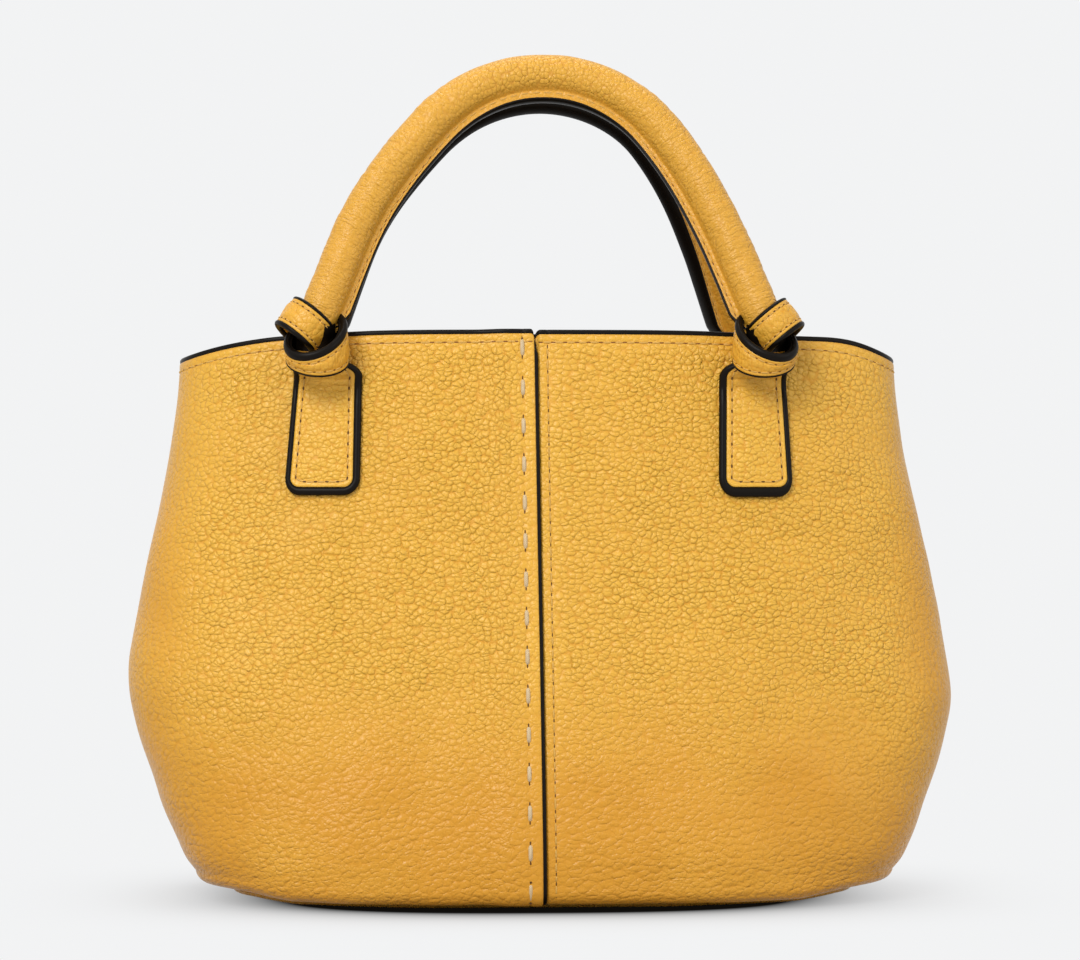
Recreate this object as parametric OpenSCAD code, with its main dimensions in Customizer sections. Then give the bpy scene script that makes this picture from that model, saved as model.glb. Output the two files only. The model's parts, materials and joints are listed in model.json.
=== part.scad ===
/* [Body] */
// Widest width of the body, about a third of the way up
body_w = 280; // [250:1:310]
// Height of the rim at the centre
rim_h = 190; // [170:1:210]
// Depth of the body near the floor
body_d = 118; // [106:1:130]
// Depth of the mouth at the centre of the rim
mouth_d = 76; // [68:1:86]
// How far the rim dips at the two sides
side_drop = 9; // [5:0.5:12]
// Radius of the turned bottom edge
bottom_r = 5; // [4:0.5:7]
// Width of the panel edge that turns under the base
under_w = 8; // [6:0.5:12]

/* [Leather] */
// Thickness of the body panels
panel_t = 1.8; // [1.4:0.1:2.2]
// Overlap of one panel on the other at the centre seams
lap_w = 10; // [8:0.5:13]
// Width over which the upper panel climbs on to the lower one
climb_w = 6; // [4:0.5:8]
// Thickness of the leather facing inside the rim
facing_t = 1.2; // [0.9:0.1:1.5]
// Height of the facing
facing_h = 26; // [20:1:34]
// Height of the painted edge on the rim
edge_h = 1.5; // [1:0.1:2]
// Gap between the two halves of the painted edge at the centre
notch_w = 1.6; // [1:0.1:2.4]

/* [Inside] */
// Thickness of the lining cloth
lining_t = 0.6; // [0.4:0.1:0.9]
// Thickness of the base board
board_t = 2; // [1.5:0.1:2.2]
// Thickness of the seam tape behind each centre seam
tape_t = 1; // [0.6:0.1:1.2]
// Reach of the seam tape past the seam
tape_reach = 9; // [7:0.5:12]
// Thickness of the patch behind each tab
patch_t = 0.8; // [0.5:0.1:1.1]
// Radius of the magnetic snap
snap_r = 7; // [6:0.5:8]
// Drop of the snap below the rim
snap_drop = 14; // [11:0.5:16]

/* [Handles] */
// Diameter of the rolled handles
tube_d = 14.5; // [13:0.1:16]
// Thickness of the handle leather
cover_t = 1.6; // [1.2:0.1:2]
// Radius of the top arc, on the tube's centre line
top_r = 49; // [44:0.5:54]
// Half angle of the top arc
top_angle = 49.5; // [45:0.5:54]
// Radius of the side arcs, on the tube's centre line
side_r = 152; // [140:1:164]
// Angle of the straight legs from the upright
leg_angle = 21; // [18:0.5:24]
// Length of the straight legs
leg_len = 30.3; // [27:0.1:34]
// Lean of each handle towards the other
lean = 15.5; // [13:0.5:17]
// Depth of the sewn flange inside the arch
flange_w = 4; // [3:0.1:5]
// Thickness of the sewn flange
flange_t = 2.6; // [2:0.1:3]

/* [Knots and tabs] */
// Distance from the rim's face to the middle of the knot
knot_stand = 12.6; // [12.4:0.1:14]
// Outer radius of the knot's collar
collar_r = 10.4; // [9.6:0.1:10.8]
// Height of the collar
collar_h = 8; // [6.5:0.1:9]
// Forward tilt of the collar
collar_tilt = 35; // [30:1:38]
// Sideways roll of the collar, inner side up
collar_roll = 12; // [6:1:16]
// Width of the strap that ties the knot
band_w = 11; // [9:0.5:12]
// Thickness of the knotted strap
band_t = 2.2; // [1.8:0.1:2.4]
// Width of the strap where it bends
neck_w = 14; // [11:0.5:16]
// Drop of the bending line below the rim
hinge_drop = 16.7; // [16:0.1:18]
// Width of the tab at its foot
tab_w = 24; // [21:0.5:27]
// Width of the tab at its head
tab_head_w = 21; // [19:0.5:24]
// Height of the tab
tab_h = 35.3; // [31:0.1:41]
// Thickness of the tab
tab_t = 2.2; // [1.8:0.1:2.6]
// Corner radius at the tab's foot
tab_r = 4; // [3:0.5:6]
// How much nearer the centre the tabs sit than the knots
tab_shift = 2; // [0:0.5:3]

/* [Saddle stitches] */
// Pitch of the thick stitches beside the centre seams
stitch_pitch = 13.3; // [11:0.1:16]
// Length of one stitch
stitch_len = 6; // [4.5:0.1:7.5]
// Diameter of the thick thread
thread_d = 1.2; // [0.9:0.1:1.5]
// Distance of the stitches from the lap's edge
stitch_in = 4.2; // [3.5:0.1:5]

/* [Hidden] */
$fn = 48;
leather_colour = [0.91, 0.69, 0.32];
edge_colour = [0.08, 0.08, 0.10];
thread_colour = [0.93, 0.86, 0.66];
cloth_colour = [0.62, 0.52, 0.38];
board_colour = [0.35, 0.30, 0.26];
metal_colour = [0.78, 0.72, 0.55];

// Clearance between layers that lie on each other
lay_gap = 0.2;
// Clearance at the bending line and where the tube enters the knot
bend_gap = 0.3;
// Height of the turned-under edges over the floor
floor_gap = 0.3;
// Overrun of the cutting shapes
over = 1;
// Part of a rim-edge layer that stands past the leather on each side
edge_lap = 0.1;
// Rounding of the painted edge
edge_round = 0.7;

// Half width up the side, as shares of the half width at shares of the rim height
width_shares = [[0.028, 0.852], [0.05, 0.869], [0.1, 0.894], [0.2, 0.947], [0.3, 0.988],
    [0.37, 1], [0.45, 0.986], [0.55, 0.961], [0.65, 0.934], [0.75, 0.909],
    [0.85, 0.887], [0.93, 0.874], [1, 0.868]];
// Spread of the depth from mouth to floor, as shares at shares of the rim height
spread_shares = [[0.028, 0.96], [0.08, 1], [0.2, 0.94], [0.3, 0.83], [0.45, 0.65],
    [0.55, 0.51], [0.65, 0.38], [0.75, 0.27], [0.85, 0.16], [0.93, 0.07], [1, 0]];
// Squareness of the plan at the mouth and at the floor
mouth_square_share = 3;
floor_square_share = 3.8;
// Rows of the panels as shares of the rim height
row_shares = [0.05, 0.1, 0.2, 0.3, 0.37, 0.45, 0.55, 0.65, 0.75, 0.85, 0.93];
// How the dip of the rim grows outwards and fades downwards
dip_out_share = 4;
dip_down_share = 3;
// Angles of the columns round a half, from the middle to the side seam
side_gap = asin(lay_gap / mouth_d);
column_angles = [for (t = [12:8:76]) t, 83, 90 - side_gap];
left_angles = [for (k = [len(column_angles) - 1:-1:0]) -column_angles[k]];

panel_top = 1 - edge_h / rim_h;
wall_foot = (bottom_r + floor_gap) / rim_h;
facing_foot = 1 - facing_h / rim_h;
tape_d = panel_t + lay_gap;
lining_d = tape_d + max(tape_t, patch_t, facing_t) + lay_gap;
lap_lift = panel_t + lay_gap;
board_z = floor_gap + panel_t + lap_lift + lay_gap;
base_lining_z = board_z + board_t + lay_gap;
lining_foot = (base_lining_z + lining_t + lay_gap) / rim_h;
lining_top = facing_foot - lay_gap / rim_h;

function half_w(v) = body_w / 2 * lookup(v, width_shares);
function half_d(v) = mouth_d / 2 + (body_d - mouth_d) / 2 * lookup(v, spread_shares);
function square_at(v) = floor_square_share + (mouth_square_share - floor_square_share) * v;
function polar(t, n) = pow(pow(abs(sin(t)), n) + pow(abs(cos(t)), n), -1 / n);

// Height of a wall point at share v of the height, at share s of the half width
function wall_z(v, s) = rim_h * v - side_drop * pow(abs(s), dip_out_share) * pow(v, dip_down_share);

// A row is [share of the height, angle of the bottom turn, extra reach under the base]
function inset(row, d) = bottom_r * (1 - cos(row[1])) + row[2] + d * cos(row[1]);
function turn_z(row, d) = floor_gap + bottom_r * (1 - sin(row[1])) + d * sin(row[1]);
function row_z(row, s, d) = row[1] > 0 ? turn_z(row, d) : wall_z(row[0], s);

// A point of the front half at angle t from the middle, d under the outer face
function by_angle(t, row, d) =
    let (a = half_w(row[0]) - inset(row, d), b = half_d(row[0]) - inset(row, d),
        n = square_at(row[0]), k = polar(t, n))
    [a * k * sin(t), -b * k * cos(t), row_z(row, k * sin(t), d)];

// A point of the front half at width x, d under the outer face
function by_width(x, row, d) =
    let (a = half_w(row[0]) - inset(row, d), b = half_d(row[0]) - inset(row, d),
        n = square_at(row[0]), s = x / a)
    [x, -b * pow(1 - pow(abs(s), n), 1 / n), row_z(row, s, d)];

function wall_row(v) = [v, 0, 0];
turn_rows = [[wall_foot, 90, under_w], [wall_foot, 90, 0], [wall_foot, 60, 0], [wall_foot, 30, 0]];
panel_rows = [each turn_rows, wall_row(wall_foot), for (v = row_shares) wall_row(v), wall_row(panel_top)];
function rows_between(low, high) =
    [wall_row(low), for (v = row_shares) if (v > low && v < high) wall_row(v), wall_row(high)];

// A closed skin between an outer and an inner grid of points, rows upwards, columns to the right
module skin(outer, inner) {
    rows = len(outer);
    cols = len(outer[0]);
    size = rows * cols;
    function o(r, c) = r * cols + c;
    function i(r, c) = size + r * cols + c;
    quads = [
        for (r = [0:rows - 2]) for (c = [0:cols - 2]) [o(r, c), o(r + 1, c), o(r + 1, c + 1), o(r, c + 1)],
        for (r = [0:rows - 2]) for (c = [0:cols - 2]) [i(r, c), i(r, c + 1), i(r + 1, c + 1), i(r + 1, c)],
        for (c = [0:cols - 2]) [o(0, c), o(0, c + 1), i(0, c + 1), i(0, c)],
        for (c = [0:cols - 2]) [o(rows - 1, c + 1), o(rows - 1, c), i(rows - 1, c), i(rows - 1, c + 1)],
        for (r = [0:rows - 2]) [o(r + 1, 0), o(r, 0), i(r, 0), i(r + 1, 0)],
        for (r = [0:rows - 2]) [o(r, cols - 1), o(r + 1, cols - 1), i(r + 1, cols - 1), i(r, cols - 1)]];
    points = [for (grid = [outer, inner]) for (row = grid) each row];
    polyhedron(points, [for (q = quads) each [[q[0], q[1], q[2]], [q[0], q[2], q[3]]]]);
}

// The back of the bag is the front turned half way round
module turned() { rotate([0, 0, 180]) children(); }

// Upper panel of a centre seam: it ends on the middle and climbs on to the other panel
function upper_row(row, d) = [
    for (t = left_angles) by_angle(t, row, d),
    by_width(-lap_w - climb_w, row, d),
    by_width(-lap_w, row, d - lap_lift * cos(row[1])),
    by_width(0, row, d - lap_lift * cos(row[1]))];
module upper_panel() {
    skin([for (row = panel_rows) upper_row(row, 0)], [for (row = panel_rows) upper_row(row, panel_t)]);
}

// Lower panel: its edge runs on under the lap, and gives way to it under the base
function lower_row(row, d) = [
    by_width(-lap_w, row, d + lap_lift * (1 - cos(row[1]))),
    by_width(0, row, d + lap_lift * (1 - cos(row[1]))),
    by_width(lap_w, row, d),
    for (t = column_angles) by_angle(t, row, d)];
module lower_panel() {
    skin([for (row = panel_rows) lower_row(row, 0)], [for (row = panel_rows) lower_row(row, panel_t)]);
}

module front_left_panel() { color(leather_colour) upper_panel(); }
module front_right_panel() { color(leather_colour) lower_panel(); }
module back_left_panel() { color(leather_colour) turned() lower_panel(); }
module back_right_panel() { color(leather_colour) turned() upper_panel(); }

// Flat plates that follow the plan of the base
plan_step = 5;
module base_plate(depth, t) {
    foot = [wall_foot, 0, 0];
    half = [for (a = [-90:plan_step:90]) by_angle(a, foot, depth)];
    linear_extrude(t)
        polygon([for (p = half) [p[0], p[1]], for (k = [1:len(half) - 2]) [-half[k][0], -half[k][1]]]);
}
module base_panel() {
    color(leather_colour) base_plate(bottom_r + under_w + lay_gap, panel_t);
}
module base_board() {
    color(board_colour) translate([0, 0, board_z]) base_plate(bottom_r + bend_gap, board_t);
}
module base_lining() {
    color(cloth_colour) translate([0, 0, base_lining_z]) base_plate(lining_d, lining_t);
}

// Half skins that line the body, from side to side
function half_row(row, d) = [
    for (t = left_angles) by_angle(t, row, d), by_width(0, row, d), for (t = column_angles) by_angle(t, row, d)];
module half_skin(rows, depth, t) {
    skin([for (row = rows) half_row(row, depth)], [for (row = rows) half_row(row, depth + t)]);
}
module lining() { color(cloth_colour) half_skin(rows_between(lining_foot, lining_top), lining_d, lining_t); }
module facing() { color(leather_colour) half_skin(rows_between(facing_foot, panel_top), tape_d, facing_t); }
module front_lining() { lining(); }
module back_lining() { turned() lining(); }
module front_facing() { facing(); }
module back_facing() { turned() facing(); }

// Painted edge: two stretches that meet at a notch over the seam
edge_in = tape_d + facing_t + edge_lap;
edge_foot = panel_top + lay_gap / rim_h;
edge_shoulder = 1 - edge_round / rim_h;
edge_levels = [[edge_foot, 0], [edge_shoulder, 0], [1, edge_round]];
function upper_edge_row(v, d, lift) = [
    for (t = left_angles) by_angle(t, wall_row(v), d),
    by_width(-lap_w - climb_w, wall_row(v), d),
    by_width(-lap_w, wall_row(v), d - lift),
    by_width(-notch_w / 2, wall_row(v), d - lift)];
function lower_edge_row(v, d) = [
    by_width(notch_w / 2, wall_row(v), d), by_width(lap_w, wall_row(v), d),
    for (t = column_angles) by_angle(t, wall_row(v), d)];
module rim_edge() {
    color(edge_colour) {
        skin([for (e = edge_levels) upper_edge_row(e[0], e[1] - edge_lap, lap_lift)],
            [for (e = edge_levels) upper_edge_row(e[0], edge_in - e[1], 0)]);
        skin([for (e = edge_levels) lower_edge_row(e[0], e[1] - edge_lap)],
            [for (e = edge_levels) lower_edge_row(e[0], edge_in - e[1])]);
    }
}
module front_rim_edge() { rim_edge(); }
module back_rim_edge() { turned() rim_edge(); }

// Tape that backs the centre seam
module seam_tape() {
    rows = rows_between(lining_foot, lining_top);
    xs = [-lap_w, 0, tape_reach];
    color(board_colour) skin([for (row = rows) [for (x = xs) by_width(x, row, tape_d)]],
        [for (row = rows) [for (x = xs) by_width(x, row, tape_d + tape_t)]]);
}
module front_seam_tape() { seam_tape(); }
module back_seam_tape() { turned() seam_tape(); }

// Thick stitches that lie on the upper panel beside the lap's edge
stitch_d = -lap_lift - lay_gap - thread_d / 2;
stitch_top = rim_h - edge_h - thread_d;
stitch_count = floor((stitch_top - stitch_len - thread_d / 2 - wall_foot * rim_h) / stitch_pitch) + 1;
function stitch_end(z) = by_width(-stitch_in, wall_row(z / rim_h), stitch_d);
module saddle_stitches() {
    color(thread_colour) for (k = [0:stitch_count - 1]) {
        high = stitch_end(stitch_top - k * stitch_pitch);
        low = stitch_end(stitch_top - k * stitch_pitch - stitch_len);
        run = high - low;
        translate(low) {
            rotate([-atan2(run[1], run[2]), 0, 0]) {
                cylinder(h = norm(run), d = thread_d, $fn = 24);
                sphere(d = thread_d, $fn = 24);
                translate([0, 0, norm(run)]) sphere(d = thread_d, $fn = 24);
            }
        }
    }
}
module front_saddle_stitches() { saddle_stitches(); }
module back_saddle_stitches() { turned() saddle_stitches(); }

// Where the knots stand, from the run of the handle
side_turn = 90 - leg_angle;
knot_x = top_r * sin(top_angle) + side_r * (sin(side_turn) - sin(top_angle)) + leg_len * sin(leg_angle);
arch_h = top_r * (1 - cos(top_angle)) + side_r * (cos(top_angle) - cos(side_turn)) + leg_len * cos(leg_angle);
knot_y = by_width(knot_x, wall_row(1), 0)[1] - knot_stand;
hinge_z = rim_h - hinge_drop;
hinge_y = by_width(knot_x - neck_w / 2, wall_row(hinge_z / rim_h), 0)[1] - bend_gap - tab_t / 2;
tab_x = knot_x - tab_shift;
tab_top = hinge_z - tab_t - lay_gap;
tab_low = tab_top - tab_h;

// Rows and widths of a tab with a rounded foot
tab_turns = [0, 30, 60, 90];
tab_levels = [for (a = tab_turns) tab_low + tab_r * (1 - cos(a)), tab_low + tab_h / 2, tab_top];
function tab_half(z) =
    let (share = (z - tab_low) / tab_h, full = (tab_w + (tab_head_w - tab_w) * share) / 2,
        down = max(tab_r - (z - tab_low), 0))
    full - tab_r + sqrt(tab_r * tab_r - down * down);
tab_columns = [-1, -1 / 2, 0, 1 / 2, 1];
function tab_grid(side, d) = [for (z = tab_levels) [for (c = tab_columns)
    by_width(side * tab_x + c * tab_half(z), wall_row(z / rim_h), d)]];
module tab(side) {
    color(leather_colour) skin(tab_grid(side, -lay_gap - tab_t), tab_grid(side, -lay_gap));
}
module front_left_tab() { tab(-1); }
module front_right_tab() { tab(1); }
module back_left_tab() { turned() tab(1); }
module back_right_tab() { turned() tab(-1); }

// Stiff patch behind each tab, between panel and lining
patch_rows = rows_between((tab_low - tab_r) / rim_h, lining_top);
function patch_grid(side, d) = [for (row = patch_rows) [for (c = tab_columns)
    by_width(side * tab_x + c * (tab_w / 2 + tab_r / 2), row, d)]];
module patch(side) {
    color(board_colour) skin(patch_grid(side, tape_d), patch_grid(side, tape_d + patch_t));
}
module front_left_patch() { patch(-1); }
module front_right_patch() { patch(1); }
module back_left_patch() { turned() patch(1); }
module back_right_patch() { turned() patch(-1); }

// Magnetic snap on the facings, its two halves looking at each other
snap_t = 2.2;
pin_r = 2.6;
pin_h = 1.6;
pin_gap = 0.2;
snap_v = 1 - snap_drop / rim_h;
snap_low = by_width(0, wall_row(snap_v - snap_r / rim_h), tape_d + facing_t + lay_gap);
snap_high = by_width(0, wall_row(snap_v + snap_r / rim_h), tape_d + facing_t + lay_gap);
snap_slope = atan2(snap_high[1] - snap_low[1], snap_high[2] - snap_low[2]);
module on_facing() {
    translate((snap_low + snap_high) / 2) rotate([-90 - snap_slope, 0, 0]) children();
}
module snap_stud() {
    color(metal_colour) on_facing() {
        cylinder(h = snap_t, r = snap_r);
        cylinder(h = snap_t + pin_h, r = pin_r);
    }
}
module snap_socket() {
    color(metal_colour) turned() on_facing() difference() {
        cylinder(h = snap_t, r = snap_r);
        translate([0, 0, snap_t - pin_h]) cylinder(h = pin_h + over, r = pin_r + pin_gap);
    }
}

// The handle is drawn flat, upright in y, with its foot level with the rim, then leaned
module leaned(y) { translate([0, y, rim_h]) rotate([90 - lean, 0, 0]) children(); }
top_centre = [0, arch_h - top_r];
side_centre = top_centre + (top_r - side_r) * [sin(top_angle), cos(top_angle)];
leg_head = side_centre + side_r * [sin(side_turn), cos(side_turn)];
leg_cut = 2;
flange_cut = 10;
flange_foot_w = 6;

// Stations along half the arch, from foot to top: place, angle of the outward side, flange
function leg_station(down, flange) =
    [leg_head + down * [sin(leg_angle), -cos(leg_angle)], leg_angle, flange];
side_steps = 6;
top_steps = 8;
half_arch = [
    leg_station(leg_len - leg_cut, lay_gap),
    leg_station(leg_len - flange_cut, flange_foot_w),
    leg_station(leg_len / 3, flange_w),
    for (k = [0:side_steps]) let (a = leg_angle + (side_turn - top_angle) * k / side_steps)
        [side_centre + side_r * [cos(a), sin(a)], a, flange_w],
    for (k = [1:top_steps]) let (a = 90 - top_angle + top_angle * k / top_steps)
        [top_centre + top_r * [cos(a), sin(a)], a, flange_w]];
arch = [each half_arch, for (k = [len(half_arch) - 2:-1:0])
    [[-half_arch[k][0][0], half_arch[k][0][1]], 180 - half_arch[k][1], half_arch[k][2]]];
function placed(st, p) = [st[0][0] + p[0] * cos(st[1]), st[0][1] + p[0] * sin(st[1]), p[1]];

// Sections: a round tube with the two edges of its leather sewn together on the inner side
tube_r = tube_d / 2;
root_angle = 180 - asin(flange_t / tube_d);
tube_sides = 15;
root_angles = [for (k = [0:tube_sides]) root_angle * (1 - 2 * k / tube_sides)];
function cover_section(flange) = [[-tube_r - flange, flange_t / 2],
    for (a = root_angles) tube_r * [cos(a), sin(a)], [-tube_r - flange, -flange_t / 2]];
bore_angles = [(180 + root_angle) / 2, each root_angles, -(180 + root_angle) / 2];
bore_section = [for (a = bore_angles) (tube_r - cover_t) * [cos(a), sin(a)]];
core_sides = 12;
core_section = [for (k = [0:core_sides - 1]) (tube_r - cover_t - lay_gap) * [cos(k * 360 / core_sides),
    -sin(k * 360 / core_sides)]];

module cover() {
    n = len(bore_section);
    last = (len(arch) - 1) * n;
    size = len(arch) * n;
    sides = [for (k = [0:len(arch) - 2]) for (j = [0:n - 1]) let (m = (j + 1) % n)
        [k * n + j, (k + 1) * n + j, (k + 1) * n + m, k * n + m]];
    bore = [for (q = sides) [q[0] + size, q[3] + size, q[2] + size, q[1] + size]];
    ends = [for (j = [0:n - 1]) let (m = (j + 1) % n)
        each [[j, m, size + m, size + j], [last + m, last + j, size + last + j, size + last + m]]];
    points = [for (st = arch) for (p = cover_section(st[2])) placed(st, p),
        for (st = arch) for (p = bore_section) placed(st, p)];
    color(leather_colour) polyhedron(points,
        [for (q = [each sides, each bore, each ends]) each [[q[0], q[1], q[2]], [q[0], q[2], q[3]]]]);
}
module core() {
    n = core_sides;
    last = (len(arch) - 1) * n;
    sides = [for (k = [0:len(arch) - 2]) for (j = [0:n - 1]) let (m = (j + 1) % n)
        each [[k * n + j, (k + 1) * n + j, (k + 1) * n + m], [k * n + j, (k + 1) * n + m, k * n + m]]];
    points = [for (st = arch) for (p = core_section) placed(st, p)];
    color(cloth_colour) polyhedron(points,
        [each sides, [for (j = [0:n - 1]) j], [for (j = [n - 1:-1:0]) last + j]]);
}
module front_handle_cover() { leaned(knot_y) cover(); }
module front_handle_core() { leaned(knot_y) core(); }
module back_handle_cover() { turned() leaned(knot_y) cover(); }
module back_handle_core() { turned() leaned(knot_y) core(); }

// Knot: a tilted collar, a band over the tube's end and the strap down to the bending line
collar_drop = 6;
collar_dish = 2;
band_tilt = 34;
band_rise = 4;
band_out = 2;
neck_angle = 35;
neck_len = 12;
module leg_frame() {
    leaned(knot_y) translate([leg_head[0], leg_head[1], 0]) rotate([90, 0, leg_angle])
        translate([0, 0, leg_len]) children();
}
module collar() {
    translate([knot_x, knot_y, rim_h - collar_drop]) rotate([collar_tilt, collar_roll, 0]) difference() {
        translate([0, 0, -collar_h / 2]) cylinder(h = collar_h, r = collar_r);
        translate([0, 0, collar_h / 2 - collar_dish]) cylinder(h = collar_dish + over, r = collar_r - band_t);
    }
}
module band() {
    translate([knot_x + band_out, knot_y, rim_h + band_rise]) rotate([-lean, -band_tilt, 0])
        cylinder(h = band_w, r = tube_r + bend_gap + band_t, center = true);
}
module neck() {
    translate([knot_x - neck_w / 2, hinge_y, hinge_z]) rotate([neck_angle, 0, 0]) {
        rotate([0, 90, 0]) cylinder(h = neck_w, d = tab_t);
        translate([0, -tab_t / 2, 0]) cube([neck_w, tab_t, neck_len]);
    }
}
module knot() {
    color(leather_colour) difference() {
        union() {
            collar();
            band();
            neck();
        }
        leg_frame() translate([0, 0, -leg_len]) cylinder(h = leg_len - leg_cut + bend_gap, d = tube_d + 2 * lay_gap);
    }
}
module front_right_knot() { knot(); }
module front_left_knot() { mirror([1, 0, 0]) knot(); }
module back_left_knot() { turned() knot(); }
module back_right_knot() { turned() mirror([1, 0, 0]) knot(); }

front_left_panel();
front_right_panel();
back_left_panel();
back_right_panel();
base_panel();
base_board();
front_lining();
back_lining();
base_lining();
front_facing();
back_facing();
front_rim_edge();
back_rim_edge();
front_seam_tape();
back_seam_tape();
front_saddle_stitches();
back_saddle_stitches();
front_left_tab();
front_right_tab();
back_left_tab();
back_right_tab();
front_left_patch();
front_right_patch();
back_left_patch();
back_right_patch();
snap_stud();
snap_socket();
front_handle_cover();
front_handle_core();
front_left_knot();
front_right_knot();
back_handle_cover();
back_handle_core();
back_left_knot();
back_right_knot();
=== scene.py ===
import json
import math
import bmesh
import bpy
import numpy as np
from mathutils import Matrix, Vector

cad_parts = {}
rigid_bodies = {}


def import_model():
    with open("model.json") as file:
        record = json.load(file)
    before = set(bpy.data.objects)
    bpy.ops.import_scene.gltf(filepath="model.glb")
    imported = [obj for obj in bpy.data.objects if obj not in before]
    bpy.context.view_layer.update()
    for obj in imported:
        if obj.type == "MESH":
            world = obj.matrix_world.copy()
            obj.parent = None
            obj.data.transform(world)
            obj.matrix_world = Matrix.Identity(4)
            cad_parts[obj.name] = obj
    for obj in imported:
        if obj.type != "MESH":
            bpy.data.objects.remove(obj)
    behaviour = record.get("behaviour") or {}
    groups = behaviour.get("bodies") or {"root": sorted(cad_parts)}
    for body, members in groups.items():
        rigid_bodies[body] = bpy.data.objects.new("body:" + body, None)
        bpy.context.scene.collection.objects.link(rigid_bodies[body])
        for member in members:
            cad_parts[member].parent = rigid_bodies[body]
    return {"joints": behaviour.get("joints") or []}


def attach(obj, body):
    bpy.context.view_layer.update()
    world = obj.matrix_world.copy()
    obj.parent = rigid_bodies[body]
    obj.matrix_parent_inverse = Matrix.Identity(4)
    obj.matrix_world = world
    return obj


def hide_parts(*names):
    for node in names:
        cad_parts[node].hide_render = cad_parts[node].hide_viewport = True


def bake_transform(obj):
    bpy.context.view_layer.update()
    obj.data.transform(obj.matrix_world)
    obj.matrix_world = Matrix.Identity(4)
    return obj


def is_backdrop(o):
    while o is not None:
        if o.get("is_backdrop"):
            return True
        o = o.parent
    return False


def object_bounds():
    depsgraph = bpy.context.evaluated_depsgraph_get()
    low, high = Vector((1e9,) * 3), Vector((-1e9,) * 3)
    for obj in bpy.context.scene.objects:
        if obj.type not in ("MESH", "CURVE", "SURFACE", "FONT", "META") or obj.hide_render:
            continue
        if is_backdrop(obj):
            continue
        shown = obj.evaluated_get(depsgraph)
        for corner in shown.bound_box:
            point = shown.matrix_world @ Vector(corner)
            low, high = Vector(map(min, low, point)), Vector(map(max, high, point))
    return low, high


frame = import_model()
for old in [o for o in bpy.context.scene.objects if o.name in ("Cube", "Light", "Camera")]:
    bpy.data.objects.remove(old)
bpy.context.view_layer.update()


# small helpers for shapes

def ease(t):
    t = np.clip(t, 0, 1)
    return t * t * (3 - 2 * t)


def hump(distance, width):
    return np.exp(-(distance / width) ** 2)


def unit(vectors):
    length = np.linalg.norm(vectors, axis=-1, keepdims=True)
    return vectors / np.maximum(length, 1e-12)


def along(points):
    step = np.linalg.norm(np.diff(points, axis=0), axis=1)
    return np.concatenate([[0], np.cumsum(step)])


def ripples(seed, count, shortest, longest):
    # a smooth uneven surface: plane waves with random runs, about -1 to 1
    draw = np.random.default_rng(seed)
    turns = draw.uniform(0, math.tau, count)
    waves = math.tau / draw.uniform(shortest, longest, count)
    starts = draw.uniform(0, math.tau, count)

    def height(u, v):
        total = 0 * (u + v)
        for turn, wave, start in zip(turns, waves, starts):
            total = total + np.sin((u * math.cos(turn) + v * math.sin(turn)) * wave + start)
        return total / math.sqrt(count)
    return height


def turned(points):
    return np.asarray(points) * (-1, -1, 1)


def sideName(side, turn):
    # the back is the front turned half way round, so its left and right change places
    return "left" if (side < 0) != turn else "right"


def roundOff(away, r):
    # how far a rounded edge falls away at a distance from it
    return r - np.sqrt(np.maximum(r * r - np.clip(r - away, 0, r) ** 2, 0))


def domed(away, reach, least=0.02):
    # grows like a ball's outline from an end
    return np.sqrt(np.clip(1 - np.clip(1 - away / reach, 0, 1) ** 2, least, 1))


def squared(angle, n):
    # reach of a rounded square at an angle, 1 on its flats
    return (np.abs(np.sin(angle)) ** n + np.abs(np.cos(angle)) ** n) ** (-1 / n)


def field(a, b, c=0.0):
    # three grids as one list of vectors
    return np.stack(np.broadcast_arrays(a, b, c), -1).reshape(-1, 3)


def twice(values):
    # once for each face of a skin
    return np.concatenate([values, values])


halves = (("front", False), ("back", True))


# small helpers for meshes

def gridFaces(rows, cols, wrapRows=False, wrapCols=False):
    r = np.arange(rows if wrapRows else rows - 1)[:, None]
    c = np.arange(cols if wrapCols else cols - 1)[None, :]
    nextRow = (r + 1) % rows
    nextCol = (c + 1) % cols
    corners = [r * cols + c, r * cols + nextCol, nextRow * cols + nextCol, nextRow * cols + c]
    return np.stack([x.ravel() for x in np.broadcast_arrays(*corners)], 1)


def closedSkin(outer, inner):
    # two grids joined round their border into one closed shell
    rows, cols = outer.shape[:2]
    faces = [gridFaces(rows, cols)]
    faces.append(faces[0][:, ::-1] + rows * cols)
    edge = list(range(cols))
    edge += [r * cols + cols - 1 for r in range(1, rows)]
    edge += [(rows - 1) * cols + c for c in range(cols - 2, -1, -1)]
    edge += [r * cols for r in range(rows - 2, 0, -1)]
    edge = np.array(edge)
    after = np.roll(edge, -1)
    faces.append(np.stack([after, edge, edge + rows * cols, after + rows * cols], 1))
    points = np.concatenate([outer.reshape(-1, 3), inner.reshape(-1, 3)])
    return points, np.concatenate(faces).tolist()


def loft(sections, closed=False):
    # closed sections joined one after another, with flat ends unless it runs round
    stations, count = sections.shape[:2]
    faces = gridFaces(stations, count, wrapRows=closed, wrapCols=True).tolist()
    if not closed:
        faces.append(list(range(count))[::-1])
        faces.append([(stations - 1) * count + k for k in range(count)])
    return sections.reshape(-1, 3), faces


def ovals(line, sideways, upward, wide, high, count=14):
    # oval sections round a line
    around = np.linspace(0, math.tau, count, endpoint=False)[None, :, None]
    sideways, upward = (np.broadcast_to(v, line.shape)[:, None] for v in (sideways, upward))
    wide, high = (np.reshape(v, (-1, 1, 1)) for v in (wide, high))
    return line[:, None] + np.cos(around) * sideways * wide + np.sin(around) * upward * high


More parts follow.
